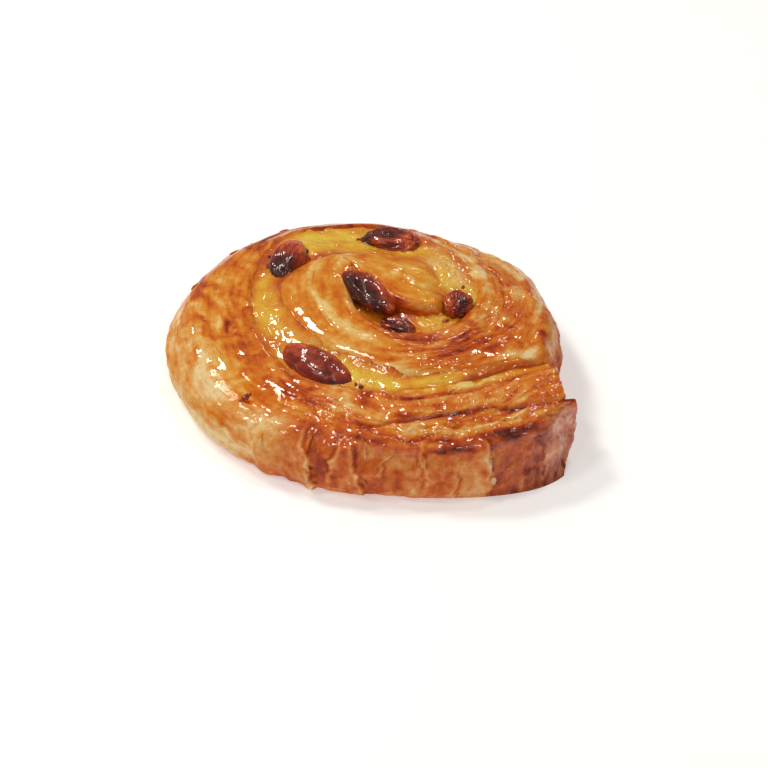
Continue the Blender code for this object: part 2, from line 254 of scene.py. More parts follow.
def columns_at(turn):
    """Shares of the shown line, from half the inner wall's height to the outer foot, dense where it shows."""
    open_side = np.concatenate((np.linspace(0, 0.1, 4)[:-1], np.linspace(0.1, 1, COLUMNS - 5)))
    hidden_side = np.concatenate((
        np.linspace(0, 0.1, 4)[:-1], np.linspace(0.1, 0.64, COLUMNS - 14), np.linspace(0.64, 1, 10)[1:]))
    return mix(open_side, hidden_side, ramp(turn, 345, 372))


plan_rows = []
share_rows = []
length_rows = []
for turn in turns:
    inner, across, line, half_wall = section_line(turn)
    steps = np.hypot(*np.diff(line, axis=0).T)
    run = np.concatenate(((0,), np.cumsum(steps)))
    shown_length = run[-1] - half_wall
    at = np.concatenate(((0, 0.5 * half_wall), half_wall + columns_at(turn) * shown_length))
    distance = np.interp(at, run, line[:, 0])
    height = np.interp(at, run, line[:, 1])
    plan = inner[:, None] + across[:, None] * distance
    plan_rows.append(np.array((plan[0], plan[1], height)).T)
    share_rows.append((at - half_wall) / shown_length)
    length_rows.append(at - half_wall)
surface = np.array(plan_rows)
share = np.array(share_rows)
round_mm = np.array(length_rows)
turn_of = np.repeat(turns[:, None], COLUMNS, axis=1)
middle = surface[:, COLUMNS // 2, :2]
along = np.concatenate(((0,), np.cumsum(np.hypot(*np.diff(middle, axis=0).T))))
along_mm = np.repeat(along[:, None], COLUMNS, axis=1)
print("strip", round(float(along[-1])), "mm long,", surface.shape[0], "x", surface.shape[1], "points")

# %% [markdown]
# ## Repeatable noise
# Dough is uneven at every size, so the relief is built from noise. It has to be the same on every run, so
# each cell of a grid gets its number from its own place, by whole-number arithmetic. Stretching the grid
# along the strip gives streaks, and a cell pattern with one seed point in each cell gives blisters. Every
# use of the noise has a number of its own, its seed, so that no two patterns are alike.

# %% Noise helpers
def hashed(ix, iy, seed):
    """A repeatable number from 0 to 1 for each whole-number place."""
    n = (ix.astype(np.int64) * 374761393 + iy.astype(np.int64) * 668265263 + seed * 974634777) & 0x7FFFFFFF
    n = ((n ^ (n >> 13)) * 1274126177) & 0x7FFFFFFF
    return ((n ^ (n >> 16)) & 0xFFFFF) / 0xFFFFF


def waves(x, y, seed):
    """Smooth noise from -1 to 1 with a period of about one unit."""
    x0, y0 = np.floor(x), np.floor(y)
    fx, fy = x - x0, y - y0
    fx, fy = (f * f * f * (f * (f * 6 - 15) + 10) for f in (fx, fy))
    low = mix(hashed(x0, y0, seed), hashed(x0 + 1, y0, seed), fx)
    high = mix(hashed(x0, y0 + 1, seed), hashed(x0 + 1, y0 + 1, seed), fx)
    return mix(low, high, fy) * 2 - 1


def fractal(x, y, seed, octaves=3):
    """Noise with finer and weaker noise on top."""
    total, size = 0.0, 1.0
    for octave in range(octaves):
        total = total + size * waves(x * 2**octave + 17.3 * octave, y * 2**octave, seed + octave)
        size *= 0.5
    return total / 1.6


def blisters(x, y, seed, fill):
    """Round domes from 0 to 1, at most one in each unit cell, in a share `fill` of the cells."""
    best = np.zeros(np.shape(x))
    x0, y0 = np.floor(x), np.floor(y)
    for dx in (-1, 0, 1):
        for dy in (-1, 0, 1):
            cx, cy = x0 + dx, y0 + dy
            radius = 0.25 + 0.35 * hashed(cx, cy, seed + 2)
            away = (x - cx - hashed(cx, cy, seed)) ** 2 + (y - cy - hashed(cx, cy, seed + 1)) ** 2
            dome_here = np.sqrt(np.maximum(0, 1 - away / radius**2)) * radius / 0.6
            best = np.maximum(best, np.where(hashed(cx, cy, seed + 3) < fill, dome_here, 0))
    return best


def lobe(centre, place, half_turn, half_share, slant=0.0, where=(turn_of, share)):
    """A soft spot on the strip, 1 at its centre. A slant moves it across the section as it runs along."""
    x = (where[0] - centre) / half_turn
    y = (where[1] - place - slant * (where[0] - centre)) / half_share
    return np.exp(-(x * x + y * y))


def uneven(length, breadth, seed, octaves=3):
    """Noise on the dough with features this long in mm along the strip and this broad in mm round it."""
    return fractal(along_mm / length, round_mm / breadth, seed, octaves)


def domes(length, breadth, seed, fill):
    """Blisters on the dough, this long and this broad in mm."""
    return blisters(along_mm / length, round_mm / breadth, seed, fill)


print("noise sample", np.round(waves(np.arange(3) + 0.5, np.arange(3) + 0.5, 1), 2))

# %% [markdown]
# ## Layers, seams and blisters
# Laminated dough is many thin sheets. Where the roll was sliced their edges show as ridges that follow the
# coil. Near the front they sweep from the rim over to the channel, so the pattern's own coordinate, the
# flow, is shifted there. The cut tail has opened along two seams. On the outer wall the sheets hang down as
# pleats with ragged edges. Every feature is a height that is later added along the surface's normal, and the
# pleats' edges also get a painted shadow line in the colour.

# %% Where the layers run
flow_mm = round_mm + 7.5 * ramp(turn_of, 48, 96) + 1.3 * uneven(22, 9, 5, 2)
on_top = band(share, 0.17, 0.23, 0.50, 0.62)
rim_at = 0.60 - 0.10 * band(turn_of, 52, 66, 96, 112)
rim_edge = 0.02 * fractal(along_mm / 4, 0 * along_mm + 3.0, 9, 3)
on_wall = ramp(share - rim_at + rim_edge, -0.04, 0.08) * fall(turn_of, 330, 350)
inside_turn = ramp(turn_of, 340, 372)
front_wall = on_wall * fall(turn_of, 78, 108)


def streaky(length, breadth, seed, octaves=3):
    """Noise whose features run with the layers."""
    return fractal(along_mm / length, flow_mm / breadth, seed, octaves)


print("flow runs from", round(float(flow_mm.min())), "to", round(float(flow_mm.max())), "mm")

# %% Ridges of the layers
def torn_layers(position, seed, width):
    """Sheets that end one after another: a slow rise and a sharp drop, as a share of a sheet's thickness."""
    phase = position / width + 1.1 * fractal(along_mm / 16, position / (3 * width), seed, 3)
    whole = np.floor(phase)
    rise = phase - whole
    present = ramp(waves(along_mm / 18, whole * 3.7, seed + 9), -0.3, 0.5)
    return present * (rise - 0.5) * ramp(rise, 0.0, 0.06)


calm = 1 - np.exp(-(((turn_of - STRIP_TURN) / 22.0) ** 2)) * fall(share, 0.25, 0.5)
heart = ramp(turn_of, 560, 600)
melted = np.maximum(0.9 * heart, 0.85 * ramp(turn_of, 405, 435))
pool = np.maximum.reduce((
    lobe(462, 0.56, 40, 0.12), lobe(118, 0.48, 20, 0.10), 0.9 * lobe(84, 0.55, 12, 0.06),
    0.9 * lobe(99, 0.57, 12, 0.08), 0.8 * lobe(500, 0.36, 20, 0.06)))
pool = np.clip(1.5 * pool * (1 + 0.6 * uneven(6, 3, 63, 2)), 0, 1)
pool = np.maximum(pool, 0.9 * band(turn_of, 84, 100, 215, 240) * fall(share, 0.5, 0.6))
layer_height = 0.34 * torn_layers(flow_mm, 31, 2.3) + 0.14 * torn_layers(flow_mm, 47, 0.9)
layer_height *= 1 + 0.5 * fall(turn_of, 92, 108) * ramp(share, 0.28, 0.34)
layer_height *= on_top * calm * (1 - melted) * (1 - pool) ** 1.2
swells = 0.42 * streaky(11, 4.2, 61, 2) + 0.08 * streaky(3.2, 1.4, 67, 2)
swells *= ramp(share, 0.15, 0.26) * calm * (1 - 0.35 * melted) * (1 - 0.9 * pool)
swells += 0.5 * lobe(117, 0.45, 9, 0.04, 0.004)
print("layers stand", round(float(np.ptp(layer_height)), 2), "mm high")

# %% Seams of the opened tail
SEAMS = (  # depth, half width, wander in mm, and (turn angle, share of the section) points on the way
    (0.5, 0.34, 0.35, ((-2, 0.29), (10, 0.285), (25, 0.29), (40, 0.30), (60, 0.31))),
    (0.8, 0.38, 0.5, (
        (-2, 0.565), (5, 0.545), (10, 0.52), (20, 0.47), (30, 0.425), (45, 0.45), (60, 0.48), (70, 0.45))),
    (0.28, 0.36, 1.1, (
        (-2, 0.575), (6, 0.585), (20, 0.635), (30, 0.605), (40, 0.58), (50, 0.575), (58, 0.53), (66, 0.48))),
    (0.22, 0.26, 0.5, ((60, 0.51), (68, 0.47), (78, 0.40), (88, 0.33), (95, 0.31))),
    (0.25, 0.28, 0.5, ((38, 0.53), (52, 0.50), (62, 0.45), (74, 0.37), (86, 0.29))),
    (0.35, 0.3, 0.8, ((6, 0.555), (16, 0.56), (30, 0.53), (44, 0.515))),
    (0.3, 0.35, 0.35, ((345, 0.42), (365, 0.40), (385, 0.43), (405, 0.44))),
    (0.3, 0.35, 0.35, ((352, 0.33), (372, 0.345), (398, 0.33), (425, 0.31), (450, 0.28))),
    (0.25, 0.35, 0.35, ((275, 0.36), (300, 0.375), (325, 0.36), (345, 0.35))),
)
seams = np.zeros_like(share)
for depth, half_width, wander, points in SEAMS:
    at, where = np.array(points).T
    ragged = wander * fractal(along_mm / 5, 0 * along_mm + depth * 50, 71, 3)
    off = (share - np.interp(turn_of, at, where)) * round_mm[:, -1:] + ragged
    ends = band(turn_of, at[0] - 3, at[0] + 3, at[-1] - 8, at[-1] + 2)
    seams = np.maximum(seams, depth * ends * np.exp(-((off / half_width) ** 2)))
print("deepest seam", round(float(seams.max()), 2), "mm")

# %% Blisters
porous = band(turn_of, 1, 4, 26, 36) * band(share, 0.28, 0.31, 0.42, 0.46)
crumbly = band(share, 0.49, 0.52, 0.57, 0.62) * fall(turn_of, 45, 60)
front_rim = lobe(34, 0.605, 34, 0.045)
cut_end = fall(turn_of, 14, 26) * ramp(share, 0.58, 0.66)
rough_wall = band(turn_of, 6, 12, 27, 31) * ramp(share, 0.6, 0.66)
tail_top = fall(turn_of, 56, 70) * band(share, 0.28, 0.31, 0.60, 0.68)
left_shoulder = np.maximum(lobe(118, 0.52, 26, 0.12), lobe(150, 0.36, 16, 0.12))
swells += 0.55 * front_rim * uneven(3.6, 2.2, 75, 3)
swells += 0.4 * rough_wall * uneven(2.2, 2.4, 79, 3)
swells += 0.75 * cut_end * fall(share, 0.8, 0.92) * uneven(3.0, 2.6, 77, 3)
small = domes(1.1, 1.1, 81, 0.7)
medium = domes(2.6, 2.0, 91, 0.6)
large = blisters(along_mm / 5.5, flow_mm / 3.4, 101, 0.6)
bubbles = 0.20 * small * np.maximum(porous, 0.7 * crumbly) + 0.4 * medium * crumbly
bubbles += (0.06 * small + 0.10 * medium) * left_shoulder
bubbles += 0.4 * large * on_top * (1 - porous) * (1 - heart)
bubbles *= (1 - 0.85 * pool) * (1 - 0.5 * melted)
glitter = np.maximum.reduce((
    0.9 * tail_top, 0.9 * cut_end, 0.9 * rough_wall, lobe(470, 0.40, 60, 0.07),
    0.8 * lobe(70, 0.36, 14, 0.05), 0.8 * lobe(275, 0.27, 45, 0.12), 0.6 * heart))
print("blisters up to", round(float(bubbles.max()), 2), "mm high")

# %% Pleats of the outer wall
PLEATS = (  # a ragged edge's turn angle, lean, step in mm, fade in degrees, browning behind it, its two ends
    (12.5, 6, -0.45, 9, -0.04, 0.66, 0.95), (28.5, -2, 0.75, 8, -0.14, 0.62, 0.97),
    (37.5, 5, 0.5, 7, 0.07, 0.80, 1.05), (46.5, 6, -0.65, 8, -0.10, 0.60, 0.90),
    (56, -8, 0.5, 6, 0.10, 0.66, 0.82), (63, 9, 0.6, 8, -0.12, 0.62, 1.05),
    (71, -7, -0.5, 7, 0.10, 0.58, 0.86), (77, 8, 0.5, 9, -0.08, 0.56, 1.05),
    (91, 12, 0.4, 10, 0.04, 0.58, 0.9),
)
pleats = np.zeros_like(share)
sheet_tone_and_shade = np.zeros_like(share)
for count, (place, lean, step, fade, tone, start, end) in enumerate(PLEATS):
    ragged = 2.2 * fractal(round_mm / 4.5 + 9 * count, 0 * along_mm, 111 + count, 4)
    past = turn_of - (place + ragged + lean * (0.8 - share))
    kept = band(share, start - 0.04, start + 0.04, end - 0.05, end + 0.05)
    pleats += kept * step * ramp(past, -0.35, 0.35) * np.exp(-np.maximum(past, 0) / fade)
    # Painted shadow: darker just past each ragged edge on its low side, with a paler painted lit line on its
    # high side.
    below = past * (1 if step < 0 else -1)
    shade_line = np.exp(-(((below - 0.5) / 0.5) ** 2)) - np.exp(-(((below + 0.5) / 0.5) ** 2))
    sheet_tone_and_shade += tone * ramp(past, -0.3, 0.3) + 0.22 * kept * shade_line
bold = 0.55 + 0.3 * band(turn_of, 50, 62, 96, 110)
folds = bold * uneven(4.2, 14, 131, 2) + 0.3 * domes(3.2, 4, 135, 0.5)
low_relief = 0.3 * uneven(7, 5, 141, 3) + 0.2 * uneven(1.5, 1.2, 145, 2)
hangs = ramp(share - rim_at - 0.04 * fractal(along_mm / 3, 0 * along_mm, 151, 2), 0.0, 0.10)
wall_height = (front_wall * (1.1 * pleats + folds) + on_wall * low_relief) * hangs
wall_height -= 0.22 * on_wall * domes(2.2, 1.2, 155, 0.3)
print("pleats stand", round(float(np.ptp(wall_height)), 2), "mm high")

# %% [markdown]
# ## Putting the relief on the surface
# The normals come from the surface's own two directions. The relief fades out towards the hidden inner wall
# and towards the foot, so that the pastry still stands flat. The tail's upper sheets end a little before
# the lower ones, which is done by drawing those columns back along the strip.

# %% Dough surface with its relief
def normals_of(points):
    down = np.gradient(points, axis=0)
    side = np.gradient(points, axis=1)
    normal = np.cross(side, down)
    return normal / np.maximum(np.linalg.norm(normal, axis=2, keepdims=True), 1e-9)


shown = band(share, 0.10, 0.17, 0.97, 1.0)
relief = shown * (layer_height + swells + bubbles + wall_height - seams - 0.12 * on_top)
normal = normals_of(surface)
if normal[100, COLUMNS // 3, 2] < 0:
    normal = -normal
dressed = surface + normal * relief[:, :, None]
drawn_back = 3.4 * np.clip((share[0] - 0.285) / 0.26, 0, 1) * fall(share[0], 0.55, 0.575)
drawn_back = drawn_back + 7.0 * np.clip(1 - surface[0][:, 2] / 7.0, 0, 1) ** 2 * ramp(share[0], 0.6, 0.7)
for column in range(COLUMNS):
    where = turns + drawn_back[column] * np.maximum(0, 1 - turns / 22)
    for axis in range(3):
        dressed[:, column, axis] = np.interp(where, turns, dressed[:, column, axis])
dressed[:, :, 2] = np.maximum(dressed[:, :, 2], 0.0)
print("dressed dough is", round(float(dressed[:, :, 2].max()), 1), "mm high")

# %% [markdown]
# ## Ends of the strip
# The tail's cut and the heart's tip are closed by rings that shrink towards the section's middle. The cut
# stays nearly flat, with the edges of its layers standing out. The tip bulges.

# %% Rings at both ends
def end_rings(ring, ahead, scales, offsets, rough):
    """Rings inside an end's ring: each scaled about the middle and moved ahead along the strip."""
    low, high = ring.min(axis=0), ring.max(axis=0)
    centre = (low + high) / 2
    centre[2] = 0.45 * high[2]
    rings = []
    for scale, offset in zip(scales, offsets):
        moved = centre + (ring - centre) * scale
        layers = fractal(moved[:, 2] / 1.4, moved[:, 0] / 9 + moved[:, 1] / 9, 161, 3)
        moved = moved + ahead * (offset + rough * layers)[:, None]
        moved[:, 2] = np.maximum(moved[:, 2], 0.0)
        rings.append(moved)
    return rings


def closed_ring(row):
    """A section's shown line with three more points along its flat underside."""
    start, end = row[0], row[-1]
    under = [mix(end, start, s) * (1, 1, 0) for s in (0.25, 0.5, 0.75)]
    return np.concatenate((row, under))


rings = [closed_ring(row) for row in dressed]
backwards = rings[0].mean(axis=0) - rings[4].mean(axis=0)
backwards = backwards / np.linalg.norm(backwards)
tail_rings = end_rings(rings[0], backwards, (0.97, 0.92, 0.85, 0.76, 0.66, 0.55, 0.43, 0.30, 0.17, 0.06),
                       (0.25, 0.35, 0.35, 0.3, 0.25, 0.25, 0.2, 0.2, 0.2, 0.2), 0.5)
forwards = rings[-1].mean(axis=0) - rings[-2].mean(axis=0)
forwards[2] = 0
forwards = forwards / np.linalg.norm(forwards)
bend = np.radians((18, 36, 52, 66, 78, 86))
tip_rings = end_rings(rings[-1], forwards, np.cos(bend), HEART_TIP * np.sin(bend), 0.0)
print(len(tail_rings), "rings close the tail,", len(tip_rings), "the heart's tip")

# %% [markdown]
# ## Browning
# The crust is browned unevenly: golden on the puffed sheets, cream where the outer wall stayed pale, and
# purple-brown at the cut end that touched the tray's hot side, with a painted pinkish sheen on it. Each spot
# below is a soft patch at a place of the strip, darker if its strength is above zero and paler if it is
# below. A few spots are painted light and shade: a shadow beside a raisin, a shadow line along the heart
# raisin's edge, and pale streaks on the second turn that stand partly for glints. Streaks and the relief
# itself do the rest: seams and hollows are painted darker as shade by their depth, and blisters and raised
# layer edges are painted paler as light.

# %% Patches of browning
SPOTS = (  # turn angle, share of the section, half length in degrees, half width, strength and, if any, slant
    # the tail's top
    (0, 0.565, 2.0, 0.02, 0.4), (14, 0.505, 9, 0.02, 0.26, -0.0048), (20, 0.245, 26, 0.03, -0.26),
    (22, 0.35, 14, 0.04, -0.1), (30, 0.29, 34, 0.01, 0.26), (34, 0.54, 16, 0.022, -0.08),
    (38, 0.435, 14, 0.026, 0.34), (44, 0.582, 14, 0.022, 0.34, -0.001), (50, 0.4, 14, 0.03, -0.14, -0.002),
    (54, 0.47, 10, 0.02, 0.08),
    # the front wall and the cut end
    (3, 0.9, 3, 0.06, 0.16), (6, 0.78, 6, 0.18, -0.32), (11, 0.72, 3, 0.05, 0.2), (13, 0.8, 3, 0.04, -0.14),
    (16, 0.94, 4, 0.04, 0.12), (20, 0.62, 12, 0.022, 0.32, -0.001), (20, 0.84, 7, 0.16, 0.09),
    (24, 0.655, 4, 0.024, 0.28), (30, 0.8, 3.5, 0.1, -0.1), (33, 0.92, 5, 0.06, -0.14),
    (36, 0.655, 5, 0.03, 0.42), (42, 0.7, 3, 0.06, -0.18), (51, 0.635, 4, 0.02, 0.26),
    (57, 0.88, 7, 0.08, 0.16), (59, 0.68, 4, 0.08, -0.14),
    # the front left
    (61, 0.24, 6, 0.05, 0.22), (61, 0.585, 5, 0.018, 0.24, -0.004), (66, 0.485, 12, 0.014, 0.08, -0.0065),
    (68, 0.72, 9, 0.1, 0.08), (70, 0.36, 12, 0.03, -0.12, -0.005), (77, 0.86, 5, 0.12, -0.2),
    (80, 0.56, 8, 0.05, 0.1, -0.004), (84, 0.36, 9, 0.015, 0.08, -0.006), (87, 0.64, 4, 0.12, -0.3, -0.006),
    (91, 0.7, 4, 0.12, -0.16, -0.004), (92, 0.22, 10, 0.05, 0.16), (92, 0.38, 8, 0.035, 0.1, -0.004),
    (94, 0.66, 4, 0.12, -0.18, -0.004),
    # the left side
    (100, 0.535, 1.2, 0.016, 0.5, 0.01), (104, 0.82, 14, 0.12, -0.42), (108, 0.36, 6, 0.03, 0.14),
    (110, 0.6, 13, 0.07, -0.4), (114, 0.48, 8, 0.05, -0.12), (120, 0.3, 10, 0.04, -0.14),
    (120, 0.38, 10, 0.02, 0.07, -0.002), (125, 0.86, 14, 0.1, -0.5), (128, 0.52, 12, 0.06, -0.16),
    (130, 0.66, 20, 0.09, -0.14), (131, 0.395, 4, 0.035, -0.26), (140, 0.66, 14, 0.06, -0.16),
    (146, 0.53, 8, 0.06, 0.1, 0.004), (150, 0.32, 14, 0.09, -0.22), (163, 0.44, 6, 0.06, 0.1),
    (168, 0.3, 6, 0.04, 0.1), (186, 0.4, 16, 0.03, 0.12),
    # the back rim
    (205, 0.36, 30, 0.025, 0.24), (218, 0.55, 24, 0.06, -0.28), (244, 0.31, 9, 0.05, -0.36),
    (246, 0.42, 12, 0.03, 0.14), (262, 0.14, 24, 0.07, -0.3), (262, 0.3, 12, 0.05, -0.26),
    (285, 0.24, 9, 0.05, -0.34), (296, 0.275, 10, 0.022, -0.3), (298, 0.37, 34, 0.022, 0.1),
    (300, 0.14, 22, 0.07, -0.3), (300, 0.52, 26, 0.05, -0.12), (310, 0.19, 14, 0.05, 0.12, 0.001),
    (340, 0.575, 3.0, 0.03, 0.45),
    # the second turn
    (345, 0.5, 8, 0.03, 0.12), (350, 0.36, 12, 0.022, 0.14), (356, 0.585, 6, 0.03, -0.36),
    (362, 0.56, 14, 0.03, -0.16, -0.002), (374, 0.42, 12, 0.022, 0.18), (384, 0.33, 22, 0.02, 0.05),
    (398, 0.6, 22, 0.04, -0.26), (410, 0.32, 18, 0.03, 0.06), (420, 0.56, 24, 0.06, -0.28),
    # Painted light and shade: the pale spots at 450 and 490 are partly cream and partly painted glints, and
    # the dark one at 516 is a painted shadow beside a raisin.
    (440, 0.24, 20, 0.03, 0.12), (450, 0.38, 24, 0.03, -0.26), (470, 0.29, 40, 0.03, 0.12),
    (490, 0.4, 20, 0.03, -0.3, 0.001), (504, 0.29, 14, 0.025, 0.2), (516, 0.5, 10, 0.05, 0.1),
    (524, 0.4, 12, 0.04, 0.08), (534, 0.32, 8, 0.03, -0.1),
    # the heart
    # Painted shadow: the dark line at 560 runs along the edge of the raisin by the heart.
    (560, 0.27, 26, 0.016, 0.4), (566, 0.38, 18, 0.07, 0.13), (600, 0.45, 26, 0.04, -0.16),
    (604, 0.19, 44, 0.03, 0.26), (612, 0.36, 20, 0.02, -0.22), (640, 0.42, 14, 0.12, 0.03),
)
browning = mix(0.46, 0.52, on_wall) + 0.12 * front_wall + 0.03 * inside_turn * fall(turn_of, 410, 440)
browning += 0.10 * band(turn_of, 108, 135, 205, 240) * fall(share, 0.5, 0.62)
browning += 0.26 * fall(share, 0.13, 0.22) * ramp(turn_of, 545, 575)
browning -= 0.13 * ramp(turn_of, 415, 445) + 0.01 * ramp(turn_of, 600, 630)
browning -= 0.05 * band(turn_of, 225, 250, 335, 350) + 0.03 * fall(turn_of, 40, 60)
wobbled = turn_of + 2.6 * uneven(6, 6, 171, 3), share + 0.018 * uneven(7, 3, 181, 3)
for centre, place, half_turn, half_share, strength, *slant in SPOTS:
    browning += strength * lobe(centre, place, half_turn, half_share, *slant, where=wobbled)
print("browning from", round(float(browning.min()), 2), "to", round(float(browning.max()), 2))

# %% Streaks and hollows
patchy = 0.35 + 0.9 * ramp(streaky(16, 6, 185, 2), -0.3, 0.5)
streaks = 0.26 * patchy * streaky(8, 1.3, 191, 3) + 0.12 * streaky(5, 2.8, 201, 3)
upright = sheet_tone_and_shade + 0.11 * uneven(2.6, 7, 211, 2) + 0.2 * uneven(5, 6, 215, 4)
upright += 0.13 * uneven(1.3, 2.4, 217, 3)
smooth_side = np.maximum(heart, band(turn_of, 405, 435, 500, 530))
left_ring = band(turn_of, 96, 115, 190, 225) * fall(share, 0.55, 0.7)
warped_along = along_mm + 3.5 * uneven(5, 4, 231, 2)
warped_round = round_mm + 2.6 * uneven(5, 4, 235, 2)
slanted = 0.85 * warped_along + 0.5 * warped_round, 0.85 * warped_round - 0.5 * warped_along
flecks = fractal(slanted[0] / 5.0, slanted[1] / 1.9, 225, 3)
mottle = 0.20 * fractal(slanted[0] / 3.6, slanted[1] / 2.8, 221, 3)
streaks = streaks * (1 - 0.55 * left_ring) + 0.3 * left_ring * (flecks - 0.04)
streaks = (streaks + 0.3 * front_rim * uneven(3.2, 2.0, 227, 3)) * (1 - 0.6 * porous)
streaks = mix(streaks, upright, front_wall) * (1 - 0.35 * smooth_side) + mottle * (1 - 0.3 * front_wall)
# Painted shade and light: darker in the seams by their depth, paler on blisters and on raised layer edges.
hollow = np.clip(seams * 0.35, 0, 0.3) - 0.22 * np.clip(bubbles, 0, 0.5) - 0.4 * layer_height
browning = np.clip(browning + streaks + hollow, 0.0, 1.0)
yellow = np.maximum.reduce((
    heart * fall(share, 0.55, 0.62) * ramp(share, 0.22, 0.3),
    0.7 * ramp(turn_of, 500, 530) * ramp(share, 0.33, 0.4),
    0.5 * lobe(288, 0.22, 22, 0.08),
    0.8 * band(turn_of, 100, 130, 330, 350) * fall(share, 0.2, 0.3),
    0.9 * fall(turn_of, 50, 62) * fall(share, 0.26, 0.28),
    0.7 * band(turn_of, 372, 400, 520, 536) * ramp(share, 0.48, 0.58),
    0.5 * band(turn_of, 96, 112, 165, 180) * fall(share, 0.45, 0.6),
    0.6 * melted * ramp(share, 0.2, 0.3),
    0.6 * np.clip(1.5 * lobe(89, 0.67, 5, 0.12, -0.004), 0, 1)))
# Painted reflection: the front wall's pinkish glaze sheen is painted into its colour through its own ramp.
pink_sheen = np.clip(0.7 * front_wall + 0.7 * on_wall * fall(turn_of, 12, 30), 0, 1)
# The cut end's plum-brown crust, its ramp also painted paler and pinker as a painted sheen.
plum_and_sheen = 0.85 * fall(turn_of, 5, 22) * ramp(share, 0.575, 0.64)
bare = 0.35 + 0.4 * ramp(turn_of, 26, 34) + 0.25 * ramp(turn_of, 88, 118)
matt = np.maximum(lobe(103, 0.50, 9, 0.09), 0.6 * lobe(90, 0.42, 7, 0.06))
dry = np.maximum.reduce((
    bare * ramp(share, 0.62, 0.72) * ramp(turn_of, 9, 18),
    0.7 * band(turn_of, 140, 165, 330, 350) * ramp(share, 0.48, 0.6),
    0.95 * np.clip(1.6 * matt, 0, 1)))
print("mean browning", round(float(browning.mean()), 2))

# %% [markdown]
# ## Building the dough's mesh
# `create_grid` makes the sheet. Each of its vertices takes the place of one point of the rings, the seam
# along the underside is merged, and the two small holes at the ends are filled. Numbers for the material
# ride on the vertices as attributes, which bmesh keeps while it merges.

# %% Wrapped grid
def wrapped_grid(all_rings, values):
    """A closed tube through the rings. `values` holds one array per attribute, shaped like the rings."""
    rows, around = len(all_rings) - 1, len(all_rings[0])
    mesh = bmesh.new()
    bmesh.ops.create_grid(mesh, x_segments=rows, y_segments=around, size=1.0)
    layers = {name: mesh.verts.layers.float.new(name) for name in values}
    for vert in mesh.verts:
        row = round((vert.co.x + 1) / 2 * rows)
        column = round((vert.co.y + 1) / 2 * around) % around
        vert.co = all_rings[row][column]
        for name, layer in layers.items():
            vert[layer] = values[name][row][column]
    bmesh.ops.remove_doubles(mesh, verts=mesh.verts, dist=1e-7)
    bmesh.ops.holes_fill(mesh, edges=[edge for edge in mesh.edges if edge.is_boundary], sides=0)
    bmesh.ops.triangulate(mesh, faces=[face for face in mesh.faces if len(face.verts) > 4])
    bmesh.ops.recalc_face_normals(mesh, faces=mesh.faces)
    return mesh


def to_place(ring):
    """Millimetres from the coil's centre to metres in the frame."""
    return (ring + (COIL_CENTRE[0], COIL_CENTRE[1], 0)) * MM


def add_piece(name, mesh, finish, slot_name, *nodes):
    data = bpy.data.meshes.new(name)
    mesh.to_mesh(data)
    mesh.free()
    data.shade_smooth()
    data.materials.append(finish)
    piece = bpy.data.objects.new(name, data)
    scene.collection.objects.link(piece)
    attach(piece, "root")
    if nodes:
        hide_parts(*nodes)
    print(name, len(data.polygons), "faces")
    return piece


def with_ends(grid, before, after, closing=3):
    """A value's grid made as long as the rings: its first and last rows repeated, the underside filled in."""
    rows = [grid[0]] * before + list(grid) + [grid[-1]] * after
    return [np.concatenate((row, np.linspace(row[-1], row[0], closing + 2)[1:-1])) for row in rows]


all_rings = [to_place(ring) for ring in tail_rings[::-1] + rings + tip_rings]
cut_heights = [ring[:, 2] for ring in tail_rings[::-1]]
cut_places = [np.hypot(ring[:, 0], ring[:, 1]) for ring in tail_rings[::-1]]
cut_browning = [0.42 + 0.25 * fractal(height / 1.6, place / 8, 241, 3) + 0.25 * ramp(height, 12, 17)
                for height, place in zip(cut_heights, cut_places)]
grids = {"browning": browning, "yellow": yellow, "dry": dry, "along": along_mm, "flow": flow_mm,
         "round": round_mm, "upright": front_wall, "pink_sheen": pink_sheen, "plum_and_sheen": plum_and_sheen, "melted": melted,
         "pool": pool, "glitter": glitter}
dough_values = {name: with_ends(grid, len(tail_rings), len(tip_rings)) for name, grid in grids.items()}
none = [0 * height for height in cut_heights]
cut_values = {"browning": cut_browning, "flow": cut_heights, "along": cut_places,
              "dry": [row + 0.8 for row in none], "upright": none, "pink_sheen": none, "plum_and_sheen": none, "yellow": none,
              "glitter": none}
for name, cut_rows in cut_values.items():
    rows = dough_values[name]
    for count, cut_row in enumerate(cut_rows):
        rows[count] = mix(rows[count], cut_row, min(1.0, (len(cut_rows) - 1 - count) / 2.0))

# %% [markdown]
# ## The crust's finish
# A ramp turns browning into colour, from cream through gold and orange to dark red-brown. Three more ramps
# take its place: where the crust is yellow; on the front wall, whose pinkish ramp is a painted reflection of
# the glaze's sheen; and at the cut end, whose plum-coloured ramp is also painted pinker for the sheen on it.
# Fine streaks come from noise in the strip's own coordinates, stretched along the layers on top and upright
# on the front wall. Baked dough lets a little light in, so there is some subsurface scattering. The syrup is
# the coat: thick on the top, nearly gone on the dry lower wall.

# %% Node helpers
def linear(*colour):
    """A colour as the eye reads it (0 to 255) in the shader's linear numbers, with full alpha."""
    return (*((c / 255 / 12.92) if c <= 10 else ((c / 255 + 0.055) / 1.055) ** 2.4 for c in colour), 1.0)


